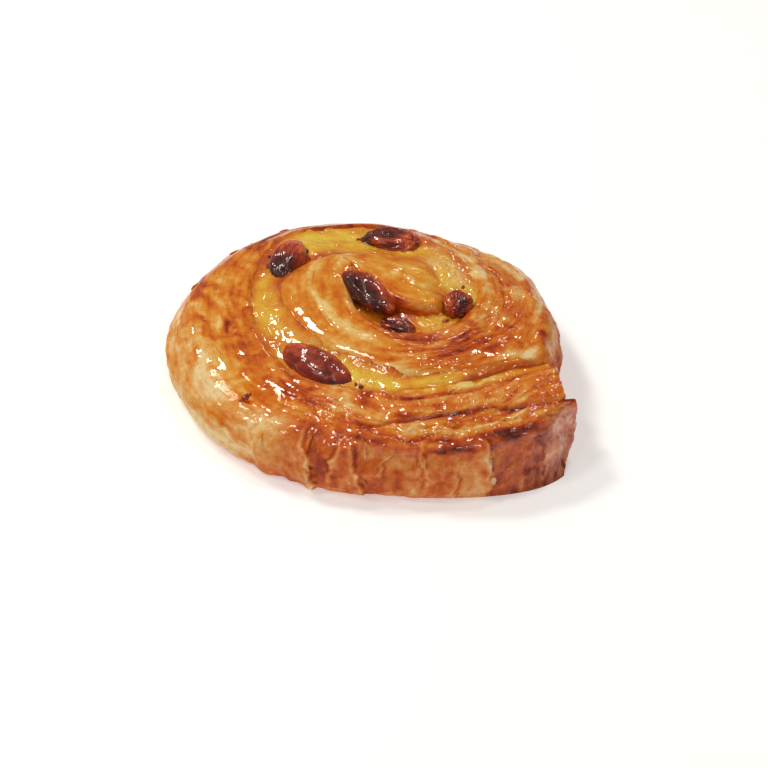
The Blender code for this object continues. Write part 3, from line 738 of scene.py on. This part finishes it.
class Nodes:
    """A material's node tree, with a short call for each kind of node that the finishes use."""

    def __init__(self, name):
        self.material = bpy.data.materials.new(name)
        self.material.use_nodes = True
        self.tree = self.material.node_tree

    def put(self, socket, value):
        if hasattr(value, "is_output"):
            self.tree.links.new(value, socket)
        else:
            socket.default_value = value

    def make(self, kind, inputs, output=0, **settings):
        """A new node with numbers or links in its inputs. Gives back one of its outputs."""
        node = self.tree.nodes.new("ShaderNode" + kind)
        for key, value in settings.items():
            setattr(node, key, value)
        for key, value in inputs.items():
            self.put(node.inputs[key], value)
        return node.outputs[output]

    def value_of(self, name):
        return self.make("Attribute", {}, "Fac", attribute_name=name)

    def place(self):
        return self.make("TexCoord", {}, "Object")

    def vector(self, x, y, z=0.0):
        return self.make("CombineXYZ", {0: x, 1: y, 2: z})

    def plus(self, first, second, clamp=False):
        return self.make("Math", {0: first, 1: second}, operation="ADD", use_clamp=clamp)

    def minus(self, first, second):
        return self.make("Math", {0: first, 1: second}, operation="SUBTRACT")

    def times(self, first, second):
        return self.make("Math", {0: first, 1: second}, operation="MULTIPLY")

    def noise(self, where, scale, detail, roughness, distortion=0.0):
        inputs = {"Vector": where, "Scale": scale, "Detail": detail, "Roughness": roughness}
        return self.make("TexNoise", {**inputs, "Distortion": distortion}, "Fac")

    def blend(self, share, first, second):
        return self.make("Mix", {"Factor": share, "A": first, "B": second}, "Result", data_type="RGBA")

    def spread(self, value, low, high, to_low, to_high):
        """The value's range from low to high, stretched to another range."""
        return self.make("MapRange", dict(enumerate((value, low, high, to_low, to_high))))

    def steps(self, value, stops):
        """A colour ramp through (position, red, green, blue) stops."""
        colour = self.make("ValToRGB", {"Fac": value}, "Color")
        elements = colour.node.color_ramp.elements
        while len(elements) < len(stops):
            elements.new(0.5)
        for element, (position, *shade) in zip(elements, stops):
            element.position = position
            element.color = linear(*shade)
        return colour

    def bump(self, height, depth_mm, strength=1.0):
        inputs = {"Strength": strength, "Distance": depth_mm * MM, "Height": height}
        return self.make("Bump", inputs, "Normal")

    def finish(self, **sockets):
        """Sets the shader's sockets and gives back the material."""
        for name, value in sockets.items():
            self.put(self.tree.nodes["Principled BSDF"].inputs[name.replace("_", " ")], value)
        return self.material


# %% Crust
crust = Nodes("crust")
along_strip, flow, around, hanging = (crust.value_of(name) for name in ("along", "flow", "round", "upright"))
streak_place = crust.vector(crust.times(along_strip, 0.16), crust.times(flow, 1.1))
fold_place = crust.vector(crust.times(along_strip, 0.6), crust.times(around, 0.35), 4.0)
streak = crust.noise(streak_place, 1.0, 2.5, 0.5, 0.8)
fold = crust.noise(fold_place, 1.0, 3.0, 0.5, 0.6)
lines = crust.plus(crust.times(streak, crust.minus(1.0, hanging)), crust.times(fold, hanging))
grain = crust.noise(crust.place(), 1700.0, 3.0, 0.6)
specks = crust.noise(crust.place(), 620.0, 4.0, 0.65)
line_strength = crust.spread(crust.value_of("melted"), 0.0, 1.0, 0.40, 0.20)
tone = crust.plus(crust.value_of("browning"), crust.times(crust.minus(lines, 0.5), line_strength))
tone = crust.plus(tone, crust.spread(specks, 0.3, 0.7, -0.11, 0.11))
tone = crust.plus(tone, crust.spread(grain, 0.3, 0.7, -0.035, 0.035), clamp=True)
plain = crust.steps(tone, (
    (0.0, 240, 212, 160), (0.2, 228, 168, 88), (0.4, 218, 126, 36), (0.56, 204, 94, 22), (0.72, 172, 62, 16),
    (0.86, 124, 38, 12), (1.0, 76, 22, 12)))
golden = crust.steps(tone, (
    (0.0, 240, 204, 110), (0.30, 226, 150, 34), (0.55, 212, 112, 16), (0.80, 156, 58, 12), (1.0, 84, 28, 12)))
# Ramp of the painted pinkish reflection on the front wall.
pink_sheen_brown = crust.steps(tone, (
    (0.0, 238, 200, 150), (0.25, 223, 143, 82), (0.5, 201, 93, 40), (0.72, 160, 64, 34), (1.0, 84, 32, 22)))
# Ramp of the plum-brown cut end, painted pinker for the sheen on it.
plum_and_sheen_brown = crust.steps(tone, (
    (0.0, 244, 200, 170), (0.25, 226, 154, 120), (0.5, 190, 104, 76), (0.75, 124, 52, 40), (1.0, 68, 26, 24)))
colour = plain
for name, other in (("yellow", golden), ("pink_sheen", pink_sheen_brown), ("plum_and_sheen", plum_and_sheen_brown)):
    colour = crust.blend(crust.value_of(name), colour, other)
crumple = crust.times(crust.times(crust.noise(crust.place(), 380.0, 4.0, 0.6), 1.2), hanging)
crust_height = crust.plus(crust.plus(crust.times(lines, 0.25), crust.times(specks, 0.5)), crumple)
crust_normal = crust.bump(crust.plus(crust_height, crust.times(grain, 0.16)), 0.5)
ripples = crust.noise(crust.place(), 340.0, 1.0, 0.5)
beads = crust.noise(crust.place(), 650.0, 1.0, 0.5)
beads = crust.times(beads, crust.spread(crust.value_of("glitter"), 0.0, 1.0, 0.04, 0.40))
glaze_strength = crust.spread(crust.value_of("pool"), 0.1, 0.9, 1.0, 0.15)
glaze_gone = crust.value_of("dry")
dough_finish = crust.finish(
    Base_Color=colour, Roughness=crust.spread(glaze_gone, 0.0, 1.0, 0.45, 0.65), Normal=crust_normal,
    Subsurface_Weight=0.12, Subsurface_Radius=(1.0, 0.4, 0.15), Subsurface_Scale=0.0015,
    Specular_IOR_Level=0.05, Coat_Weight=crust.spread(glaze_gone, 0.0, 1.0, 0.9, 0.1), Coat_Roughness=0.02,
    Coat_IOR=1.48, Coat_Normal=crust.bump(crust.plus(ripples, beads), 0.5, glaze_strength))
dough = add_piece("dough_crust", wrapped_grid(all_rings, dough_values), dough_finish, "dough", "dough")

# %% [markdown]
# ## Custard
# The filling puffed up in the oven and set with a skin that is uneven, glossy and slightly wrinkled, and it
# clings to the dough on both sides. It is swept like the dough, as a ribbon in the channel, wide enough to
# reach into the walls, so that no gap shows.

# %% Custard surface
custard_drop = smooth_curve((
    (-6, 0.7), (20, 0.8), (34, 1.0), (90, 1.3), (130, 1.0), (160, 1.2), (200, 2.0), (225, 2.0), (245, 1.0),
    (290, 1.1), (310, 2.0), (330, 2.8), (420, 3.9), (460, 4.2), (512, 3.4), (526, 0.8), (534, 0.6)), 5)
amber = smooth_curve((
    (-6, 0.7), (26, 0.5), (38, 0.30), (60, 0.33), (85, 0.36), (100, 0.24), (130, 0.3), (150, 0.25),
    (165, 0.45), (180, 0.05), (200, 0.05), (222, 0.45), (240, 0.45), (300, 0.5), (340, 0.45), (365, 0.2),
    (385, 0.25), (405, 0.6), (430, 0.8), (520, 0.85)), 5)
TIP_SWEEP = 66.0


def custard_inside(turn):
    """Point of the channel's inner wall: the next turn's outer wall, the heart's tip, then its front edge."""
    tip_start = HEART_TURN - 360
    tip_end = tip_start + TIP_SWEEP
    if turn <= tip_start:
        return polar(turn, outer_radius(turn + 360))
    if turn <= tip_end:
        part = (turn - tip_start) / TIP_SWEEP
        radius = mix(outer_radius(HEART_TURN), np.hypot(*heart_edge(1.0)) + 0.55, part)
        return polar(turn, radius + 1.7 * math.sin(math.pi * part))
    return heart_edge(1 - (turn - tip_end) / (STRIP_TURN - tip_end))


ACROSS = np.linspace(0, 1, 40)
CUSTARD_FLOOR = 2.0
custard_rings = []
custard_tone = []
custard_cream = []
custard_length = 0.0
last_middle = None
for turn in np.arange(-3.0, 533.0, 0.8):
    inside, outside = custard_inside(turn), polar(turn, inner_radius(turn))
    way = (outside - inside) / np.hypot(*(outside - inside))
    inward = 0.9 + 0.9 * fall(turn, 20, 40) + 1.3 * band(turn, 190, 215, 330, 350)
    outward = 0.9 + 1.5 * band(turn, 80, 110, 190, 220) + 0.8 * ramp(turn, 232, 250)
    inside, outside = inside - way * inward, outside + way * outward
    points = inside[:, None] + (outside - inside)[:, None] * ACROSS
    middle_point = (inside + outside) / 2
    if last_middle is not None:
        custard_length += float(np.hypot(*(middle_point - last_middle)))
    last_middle = middle_point
    x, y = custard_length + 0 * ACROSS, ACROSS * float(np.hypot(*(outside - inside)))
    climb = mix(0.2, 0.8, ramp(turn, 24, 44)) - 0.4 * ramp(turn, 320, 360)
    puff = 0.5 * np.sin(np.pi * ACROSS) + climb * np.abs(2 * ACROSS - 1) ** 3
    fillet = band(turn, 98, 108, 126, 138) * np.clip(1 - ACROSS / 0.5, 0, 1) ** 1.3
    skin = 0.55 * fractal(x / 6, y / 4, 301, 3) + 0.3 * blisters(x / 1.9, y / 1.9, 311, 0.5)
    skin *= 1 - 0.25 * band(turn, 225, 240, 300, 320)
    skin += 0.12 * blisters(x / 0.8, y / 0.8, 321, 0.45)
    skin *= 1 - 0.75 * np.clip(3 * fillet, 0, 1)
    beside_heart = 0.6 * band(turn, 240, 285, 335, 352) * (1 - ACROSS) ** 2
    level = dome(points) - custard_drop(turn) + puff + skin - beside_heart + 1.4 * fillet
    top_line = np.array((points[0], points[1], level)).T
    floor_line = np.array([mix(top_line[-1], top_line[0], s) for s in (0.0, 0.5, 1.0)])
    floor_line[:, 2] = CUSTARD_FLOOR
    custard_rings.append(to_place(np.concatenate((top_line, floor_line))))
    edge_tone = 0.7 * np.abs(2 * ACROSS - 1) ** 2 * (1 - 0.75 * band(turn, 236, 252, 325, 345))
    edge_tone *= 1 - 0.8 * band(turn, 255, 280, 340, 352) * fall(ACROSS, 0.4, 0.6)
    tone_line = amber(turn) + 0.45 * fractal(x / 9, y / 5, 331, 3) + edge_tone
    custard_tone.append(np.append(tone_line, (0.5, 0.5, 0.5)))
    pale = 0.85 * band(turn, 232, 250, 280, 312) * (0.65 + 0.9 * fractal(x / 5, y / 3, 341, 3))
    pale *= (1 - 0.7 * ramp(ACROSS, 0.7, 0.95)) * ramp(ACROSS, 0.05, 0.3)
    custard_cream.append(np.append(np.clip(pale, 0, 1), (0.0, 0.0, 0.0)))
print("custard ribbon", round(custard_length), "mm long")

# %% [markdown]
# Custard is an egg-yellow that turns amber where it is thin, against the dough, and pale where it frothed
# up. Light goes well into it, so it gets more scattering than the crust. Its skin is smooth enough to mirror
# the light in small spots.

# %% Custard finish
filling = Nodes("custard")
cloud = filling.noise(filling.place(), 330.0, 4.0, 0.6)
pores = filling.noise(filling.place(), 1500.0, 3.0, 0.6)
tone = filling.plus(filling.value_of("amber"), filling.spread(cloud, 0.3, 0.7, -0.18, 0.18), clamp=True)
yolk = filling.steps(tone, (
    (0.0, 234, 200, 70), (0.35, 226, 166, 42), (0.65, 216, 126, 24), (1.0, 190, 82, 16)))
froth = filling.spread(pores, 0.48, 0.62, 0.0, 1.0)
frothy = filling.blend(froth, linear(226, 172, 92), linear(246, 214, 150))
filling_height = filling.plus(filling.times(cloud, 0.8), filling.times(pores, 0.2))
custard_finish = filling.finish(
    Base_Color=filling.blend(filling.value_of("cream"), yolk, frothy), Roughness=0.3,
    Normal=filling.bump(filling_height, 0.55), Subsurface_Weight=0.3, Subsurface_Radius=(1.0, 0.6, 0.15),
    Subsurface_Scale=0.002, Specular_IOR_Level=0.15, Coat_Weight=0.9, Coat_Roughness=0.03, Coat_IOR=1.48)
custard_mesh = wrapped_grid(custard_rings, {"amber": custard_tone, "cream": custard_cream})
custard = add_piece("custard_skin", custard_mesh, custard_finish, "custard", "custard")

# %% [markdown]
# ## Raisins
# A raisin is a grape whose skin became too large for it: long deep folds, smaller wrinkles across them, and
# a collapsed side. Each starts from the same kind of dented ellipsoid as its solid, with many more faces,
# and noise works the folds in.

# %% Raisin shapes
RAISINS = (  # name, place, (length, width, thickness), (heading, pitch, roll), and the skin's numbers: depth
    # and side of the dent, wrinkling, tone, (tone along, tone across), taper
    ("raisin_left_back", (-27.6, 13.2, 17.8), (13.2, 7.9, 7.0), (-109, 12, 20),
     (0.35, 0.1, 0.42, 0.0, (-0.95, 0.1), 0.24)),
    ("raisin_back", (-4.6, 20.6, 18.0), (13.8, 8.2, 6.2), (-13, 0, 10),
     (0.4, 0.2, 0.65, 0.16, (0.4, -0.1), -0.1)),
    ("raisin_heart", (-9.6, 1.4, 18.8), (15.2, 7.8, 6.0), (-50, 6, -14),
     (1.1, -0.25, 0.22, 0.2, (0.05, 0.5), 0.0)),
    ("raisin_groove", (-3.4, -7.1, 15.2), (9.0, 6.4, 5.8), (-30, 4, 0),
     (0.2, 0.0, 0.9, 0.08, (0.0, 0.1), 0.0)),
    ("raisin_right", (9.4, -1.6, 17.6), (7.8, 7.4, 7.0), (70, 10, 0),
     (0.0, 0.2, 0.75, 0.2, (-0.1, 0.2), 0.0)),
    ("raisin_front", (-19.6, -19.0, 14.3), (18.4, 8.8, 7.0), (-38, 6, 16),
     (0.0, -0.1, 0.12, 0.12, (-0.18, 0.1), 0.06)),
)


def raisin_mesh(size, seed, depth, side, wrinkling, tone, slant, taper):
    """A dented, creased ellipsoid in mm round the origin; its vertices carry skin tone and painted shade."""
    mesh = bmesh.new()
    bmesh.ops.create_icosphere(mesh, subdivisions=6, radius=1.0)
    skin_tone_and_shade = mesh.verts.layers.float.new("skin_tone_and_shade")
    half = Vector(size) / 2
    own = Vector((seed, 1, 4))
    for vert in mesh.verts:
        way = vert.co.copy()
        around = math.atan2(way.z, way.y)
        fold = math.sin(5 * around + 3.0 * noise.noise(Vector((way.x * 1.3, seed, around * 0.4))))
        lump = noise.noise(way * 1.4 + Vector((seed * 5.1, 0, 0)))
        warp = Vector(0.5 * noise.noise(way * 1.6 + Vector((seed * 3.3, 9 * axis, 0))) for axis in range(3))
        crease_at = Vector((way.x * 1.1, way.y * 3.2, way.z * 3.2)) + warp + Vector((seed, 0, 0))
        crease = max(0, 1 - 2 * abs(noise.noise(crease_at)))
        fine = max(0, 1 - 2 * abs(noise.noise(Vector((way.x * 3.0, way.y * 7.0, way.z * 7.0)) + warp * 2)))
        tiny = noise.noise(way * 17 + own) + 0.5 * noise.noise(way * 38 + own)
        scale = 1 - 0.16 * wrinkling * (0.5 + 0.5 * fold) * (1 - way.x**4) + 0.10 * lump
        scale -= wrinkling * (0.10 * crease**3 + 0.035 * fine**2) + 0.004 * tiny
        vert.co = Vector(way[i] * half[i] * scale for i in range(3))
        vert.co.y *= 1 - taper * way.x
        hollow = 0.0
        if way.z > 0:
            hollow = math.exp(-((way.x / 0.6) ** 2) - ((way.y - side) / 0.42) ** 2)
            vert.co.z *= 1 - depth * hollow
        shade = 0.45 + tone + slant[0] * way.x + slant[1] * way.y + mix(0.25, 0.7, wrinkling) * lump
        # Painted shade: the colour is darker in the deep creases and in the collapsed dent.
        crease_and_dent_shade = mix(0.25, 0.45, wrinkling) * crease + 0.5 * hollow * depth
        vert[skin_tone_and_shade] = min(1.0, max(0.0, shade - crease_and_dent_shade))
    return mesh


def raisin_place(centre, heading, pitch, roll):
    turned = Matrix.Rotation(math.radians(heading), 4, "Z")
    turned @= Matrix.Rotation(math.radians(pitch), 4, "Y") @ Matrix.Rotation(math.radians(roll), 4, "X")
    at = Vector((centre[0] + COIL_CENTRE[0], centre[1] + COIL_CENTRE[1], centre[2]))
    return Matrix.Scale(MM, 4) @ Matrix.Translation(at) @ turned


skin = Nodes("raisin_skin")
skin_grain = skin.noise(skin.place(), 900.0, 4.0, 0.6)
tone = skin.plus(skin.value_of("skin_tone_and_shade"), skin.spread(skin_grain, 0.3, 0.7, -0.2, 0.2), clamp=True)
skin_colour = skin.steps(tone, (
    (0.0, 60, 9, 5), (0.35, 128, 31, 13), (0.7, 182, 66, 26), (1.0, 222, 110, 44)))
raisin_finish = skin.finish(
    Base_Color=skin_colour, Roughness=0.4, Normal=skin.bump(skin_grain, 0.3), Subsurface_Weight=0.15,
    Subsurface_Radius=(1.0, 0.25, 0.1), Subsurface_Scale=0.001, Specular_IOR_Level=0.15, Coat_Weight=1.0,
    Coat_Roughness=0.02, Coat_IOR=1.55, Coat_Normal=skin.bump(skin.noise(skin.place(), 600.0, 1.0, 0.5), 0.2))
for seed, (name, centre, size, turned, looks) in enumerate(RAISINS):
    mesh = raisin_mesh(size, seed, *looks)
    bmesh.ops.transform(mesh, matrix=raisin_place(centre, *turned), verts=mesh.verts)
    add_piece("wrinkled_" + name, mesh, raisin_finish, "raisin", name)

# %% [markdown]
# ## Small loose pieces
# Baking tears small flakes off the sheets' edges, crumbs stick to the syrup, and syrup that ran down beside
# the raisins burnt to dark bits. Each kind is one mesh. A flake is a small sheet with a ragged outline that
# curls away from the wall it hangs on; crumbs and burnt bits are uneven lumps, half sunk in what they lie
# on.

# %% Where small pieces sit
def chance(count, seed):
    """A repeatable number from 0 to 1 for the piece with this count."""
    return float(hashed(np.array(count), np.array(seed * 13), 401))


def on_strip(turn, place):
    """A place of the strip as a point of the dressed dough in mm, its normal, its numbers for the finish."""
    row = int(np.abs(turns - turn).argmin())
    column = int(np.abs(share[row] - place).argmin())
    point = dressed[row, column] + (COIL_CENTRE[0], COIL_CENTRE[1], 0)
    values = {name: float(grid[row + len(tail_rings)][column]) for name, grid in dough_values.items()}
    return Vector(point), Vector(normal[row, column]), values


def on_top_of(x, y, pieces):
    """Highest point of some pieces over a point of the plan, and the normal there."""
    best = None
    start = Vector(((x + COIL_CENTRE[0]) * MM, (y + COIL_CENTRE[1]) * MM, 0.1))
    for piece in pieces:
        hit, point, up, _ = piece.ray_cast(start, Vector((0, 0, -1)))
        if hit and (best is None or point.z > best[0].z):
            best = (point, up)
    return best[0] / MM, best[1]


def facing_out(up, spin):
    """Rotation whose Z axis is the normal `up` and whose X axis runs level, turned by `spin` degrees."""
    level = Vector((-up.y, up.x, 0.0)).normalized() if abs(up.z) < 0.999 else Vector((1, 0, 0))
    turned = Matrix((level, up.cross(level), up)).transposed().to_4x4()
    return turned @ Matrix.Rotation(math.radians(spin), 4, "Z")


def gather(mesh, part, where, values):
    """Moves a small bmesh in mm to its place in a larger one, with the finish's numbers on all of it."""
    data = bpy.data.meshes.new("part")
    for name, value in values.items():
        layer = part.verts.layers.float.new(name)
        for vert in part.verts:
            vert[layer] = value
    bmesh.ops.transform(part, matrix=Matrix.Scale(MM, 4) @ where, verts=part.verts)
    part.to_mesh(data)
    part.free()
    mesh.from_mesh(data)
    bpy.data.meshes.remove(data)


print("front wall at 45 degrees faces", [round(c, 2) for c in on_strip(45, 0.7)[1]])

# %% Loose flakes
FLAKES = (  # turn angle, share, length across, width down in mm, spin, lift at the free edge in mm
    (77.5, 0.64, 2.0, 4.6, 4, 0.6), (76.5, 0.84, 1.8, 3.8, -8, 0.5), (62.6, 0.66, 2.0, 4.8, 8, 0.6),
    (62, 0.86, 1.8, 3.4, -4, 0.5), (46.2, 0.72, 1.8, 4.0, 6, 0.5), (28.8, 0.72, 2.0, 4.6, 5, 0.5),
    (28.4, 0.87, 1.8, 3.2, -6, 0.4), (90, 0.70, 1.6, 3.0, 12, 0.4), (14.5, 0.72, 1.8, 3.4, 10, 0.4),
    (9, 0.565, 1.4, 4.4, 92, 0.45), (24, 0.475, 1.4, 4.4, 92, 0.35), (40, 0.44, 1.3, 4.0, 88, 0.35),
    (56, 0.30, 1.2, 3.4, 90, 0.3), (12, 0.29, 1.2, 4.2, 92, 0.3), (34, 0.295, 1.2, 4.6, 90, 0.3),
    (150, 0.60, 1.8, 2.6, 30, 0.3), (166, 0.52, 1.6, 2.8, 70, 0.3), (182, 0.45, 1.6, 3.0, 80, 0.3),
    (300, 0.44, 1.4, 3.0, 80, 0.3), (284, 0.40, 1.4, 3.2, 95, 0.3),
)
FLAKE_THICKNESS = 0.10
flakes = bmesh.new()
for count, (turn, place, length, width, spin, lift) in enumerate(FLAKES):
    flake = bmesh.new()
    layers = {name: flake.verts.layers.float.new(name) for name in dough_values}
    bmesh.ops.create_grid(flake, x_segments=12, y_segments=18, size=1.0)
    point, up, _ = on_strip(turn, place)
    turned = facing_out(up, spin)
    row = int(np.abs(turns - turn).argmin())
    near = slice(max(0, row - 16), row + 17)
    beside = dressed[near] + (COIL_CENTRE[0], COIL_CENTRE[1], 0)
    for vert in flake.verts:
        u = vert.co.x * math.sqrt(1 - 0.5 * vert.co.y**2)
        w = vert.co.y * math.sqrt(1 - 0.5 * vert.co.x**2)
        rim = math.hypot(u, w)
        ragged = 1 + rim * (0.35 * noise.noise(Vector((u * 1.6, w * 1.6, count * 3.1)))
                            + 0.22 * noise.noise(Vector((u * 5, w * 5, count * 3.1))))
        free = (u + 1) / 2
        flat = Vector((u * length / 2 * ragged, w * width / 2 * ragged, 0))
        on_wall_point = np.array(point + turned @ flat)
        closest = int(((beside - on_wall_point) ** 2).sum(axis=2).argmin())
        under_row, under_column = divmod(closest, COLUMNS)
        under = Vector(beside[under_row, under_column])
        for name, layer in layers.items():
            vert[layer] = dough_values[name][near.start + under_row + len(tail_rings)][under_column]
        vert[layers["browning"]] -= 0.10 * free**3
        follow = (under - point).dot(up)
        ripple = 0.08 * noise.noise(Vector((u * 2, w * 2, count + 0.5)))
        vert.co = flat + Vector((0, 0, follow + lift * free**2.2 - 0.25 * (1 - free) + ripple))
    bmesh.ops.solidify(flake, geom=flake.faces, thickness=FLAKE_THICKNESS)
    bmesh.ops.recalc_face_normals(flake, faces=flake.faces)
    gather(flakes, flake, Matrix.Translation(point) @ turned, {})
add_piece("loose_flakes", flakes, dough_finish, "dough")


# %% Crumbs
def lump(radius, stretch, seed):
    """An uneven lump of a radius in mm."""
    mesh = bmesh.new()
    bmesh.ops.create_icosphere(mesh, subdivisions=2, radius=radius)
    for vert in mesh.verts:
        way = vert.co.normalized()
        vert.co *= 1 + 0.45 * noise.noise(way * 1.6 + Vector((seed * 2.3, 0, 0)))
        vert.co.x *= stretch
    return mesh


CRUMB_FIELDS = (  # turn angles from and to, shares from and to, how many, largest radius in mm
    (8, 58, 0.49, 0.60, 60, 0.38), (3, 32, 0.31, 0.43, 34, 0.3), (34, 56, 0.34, 0.42, 12, 0.3),
    (20, 100, 0.66, 0.95, 20, 0.3), (130, 175, 0.30, 0.60, 16, 0.28), (245, 330, 0.20, 0.40, 16, 0.28),
)
crumbs = bmesh.new()
count = 0
for first, last, low, high, many, largest in CRUMB_FIELDS:
    for _ in range(many):
        count += 1
        point, up, values = on_strip(mix(first, last, chance(count, 1)), mix(low, high, chance(count, 2)))
        values["browning"] = max(0.0, values["browning"] + 0.3 * chance(count, 6) - 0.26)
        radius = largest * mix(0.45, 1.0, chance(count, 3) ** 2)
        crumb = lump(radius, mix(1.0, 1.7, chance(count, 4)), count)
        where = Matrix.Translation(point - up * 0.2 * radius) @ facing_out(up, 360 * chance(count, 5))
        gather(crumbs, crumb, where, values)
add_piece("crumbs", crumbs, dough_finish, "dough")
print(count, "crumbs")

# %% Burnt bits
BURNT_PLACES = (  # in plan from the coil's centre, radius in mm
    (-11.0, -25.7, 0.5), (-12.0, -25.0, 0.3), (-1.0, -7.8, 0.4), (-0.4, -7.0, 0.3), (6.6, -6.0, 0.45),
    (7.2, -5.6, 0.3), (10.7, 4.0, 0.35), (-31.4, 12.4, 0.6), (-30.6, 15.4, 0.7), (-29.2, 18.2, 0.6),
    (-23.6, 16.4, 0.8), (-23.2, 14.2, 0.8), (-24.2, 12.0, 0.6), (-25.2, 18.4, 0.6), (-3.4, 24.0, 0.6),
    (-2.0, 24.2, 0.5), (0.8, 22.0, 0.5), (-12.0, 21.8, 0.4), (-13.4, 6.4, 0.4), (-4.4, -4.4, 0.4),
)
burnt = bmesh.new()
for count, (x, y, radius) in enumerate(BURNT_PLACES):
    point, up = on_top_of(x, y, (dough, custard))
    bit = lump(radius, mix(1.1, 2.0, chance(count, 7)), count + 50)
    where = Matrix.Translation(point - up * 0.05 * radius) @ facing_out(up, 360 * chance(count, 8))
    gather(burnt, bit, where, {"skin_tone_and_shade": 0.15 + 0.35 * chance(count, 9)})
point, up, _ = on_strip(100.2, 0.53)
for count, (slide, radius) in enumerate(((-0.9, 0.5), (0.1, 0.75), (1.0, 0.45))):
    where = facing_out(up, 70) @ Matrix.Translation((slide, 0.25 * count, -0.2 * radius))
    gather(burnt, lump(radius, 1.5, count + 90), Matrix.Translation(point) @ where, {"skin_tone_and_shade": 0.4})
add_piece("burnt_bits", burnt, raisin_finish, "raisin")

# %% [markdown]
# ## Floor and light
# The pastry lies on a plain white floor. A window high up behind it on the left is the main light, and its
# image is what shines on the custard and on every surface that leans to the front left. A panel and a large
# amber screen stand on the left and give the rim its softer glints. A small lamp overhead, one spark at the
# back and one in front put the tiny glints on the heart, the raisins and the rims. A wide fill lights the
# front wall.

# %% Floor
floor_mesh = bmesh.new()
bmesh.ops.create_circle(floor_mesh, cap_ends=True, segments=96, radius=1.2)
floor_data = bpy.data.meshes.new("floor")
floor_mesh.to_mesh(floor_data)
floor_mesh.free()
floor = bpy.data.objects.new("floor", floor_data)
scene.collection.objects.link(floor)
table = Nodes("white_table")
floor_data.materials.append(table.finish(
    Base_Color=(0.85, 0.88, 0.93, 1.0), Roughness=0.9, Specular_IOR_Level=0.1,
    Emission_Color=(1.0, 1.0, 1.0, 1.0), Emission_Strength=0.3))
print("floor is", round(floor.dimensions.x, 1), "m across")


# %% Lights
def area_light(name, direction, distance, size, power, colour=(1.0, 1.0, 1.0)):
    """A square light that looks at the pastry from a direction, `distance` metres away."""
    light = bpy.data.objects.new(name, bpy.data.lights.new(name, "AREA"))
    way = Vector(direction).normalized()
    light.location = way * distance
    light.rotation_euler = way.to_track_quat("Z", "Y").to_euler()
    light.data.shape = "RECTANGLE"
    light.data.size, light.data.size_y = size
    light.data.energy = power
    light.data.color = colour
    scene.collection.objects.link(light)


WARM = (1.0, 0.94, 0.84)
area_light("window", (-0.475, 0.355, 0.81), 0.8, (0.17, 0.12), 2.25, WARM)
area_light("panel", (-0.45, -0.06, 0.88), 0.9, (0.16, 0.12), 1.25, WARM)
area_light("screen", (-0.40, -0.36, 0.84), 0.9, (0.36, 0.26), 0.5, (1.0, 0.88, 0.70))
area_light("lamp", (0.15, 0.25, 0.95), 0.8, (0.08, 0.065), 0.85, WARM)
area_light("back_spark", (0.10, 0.75, 0.65), 0.8, (0.055, 0.045), 0.18, WARM)
area_light("spark", (0.15, -0.75, 0.65), 0.8, (0.09, 0.07), 0.5, WARM)
area_light("fill", (0.25, -0.8, 0.48), 1.0, (0.5, 0.5), 0.95, WARM)
world = bpy.data.worlds.new("studio")
world.use_nodes = True
sky = world.node_tree.nodes["Background"].inputs
sky["Color"].default_value = (1.0, 0.96, 0.9, 1.0)
sky["Strength"].default_value = 0.20
scene.world = world
scene.view_settings.view_transform = "Standard"
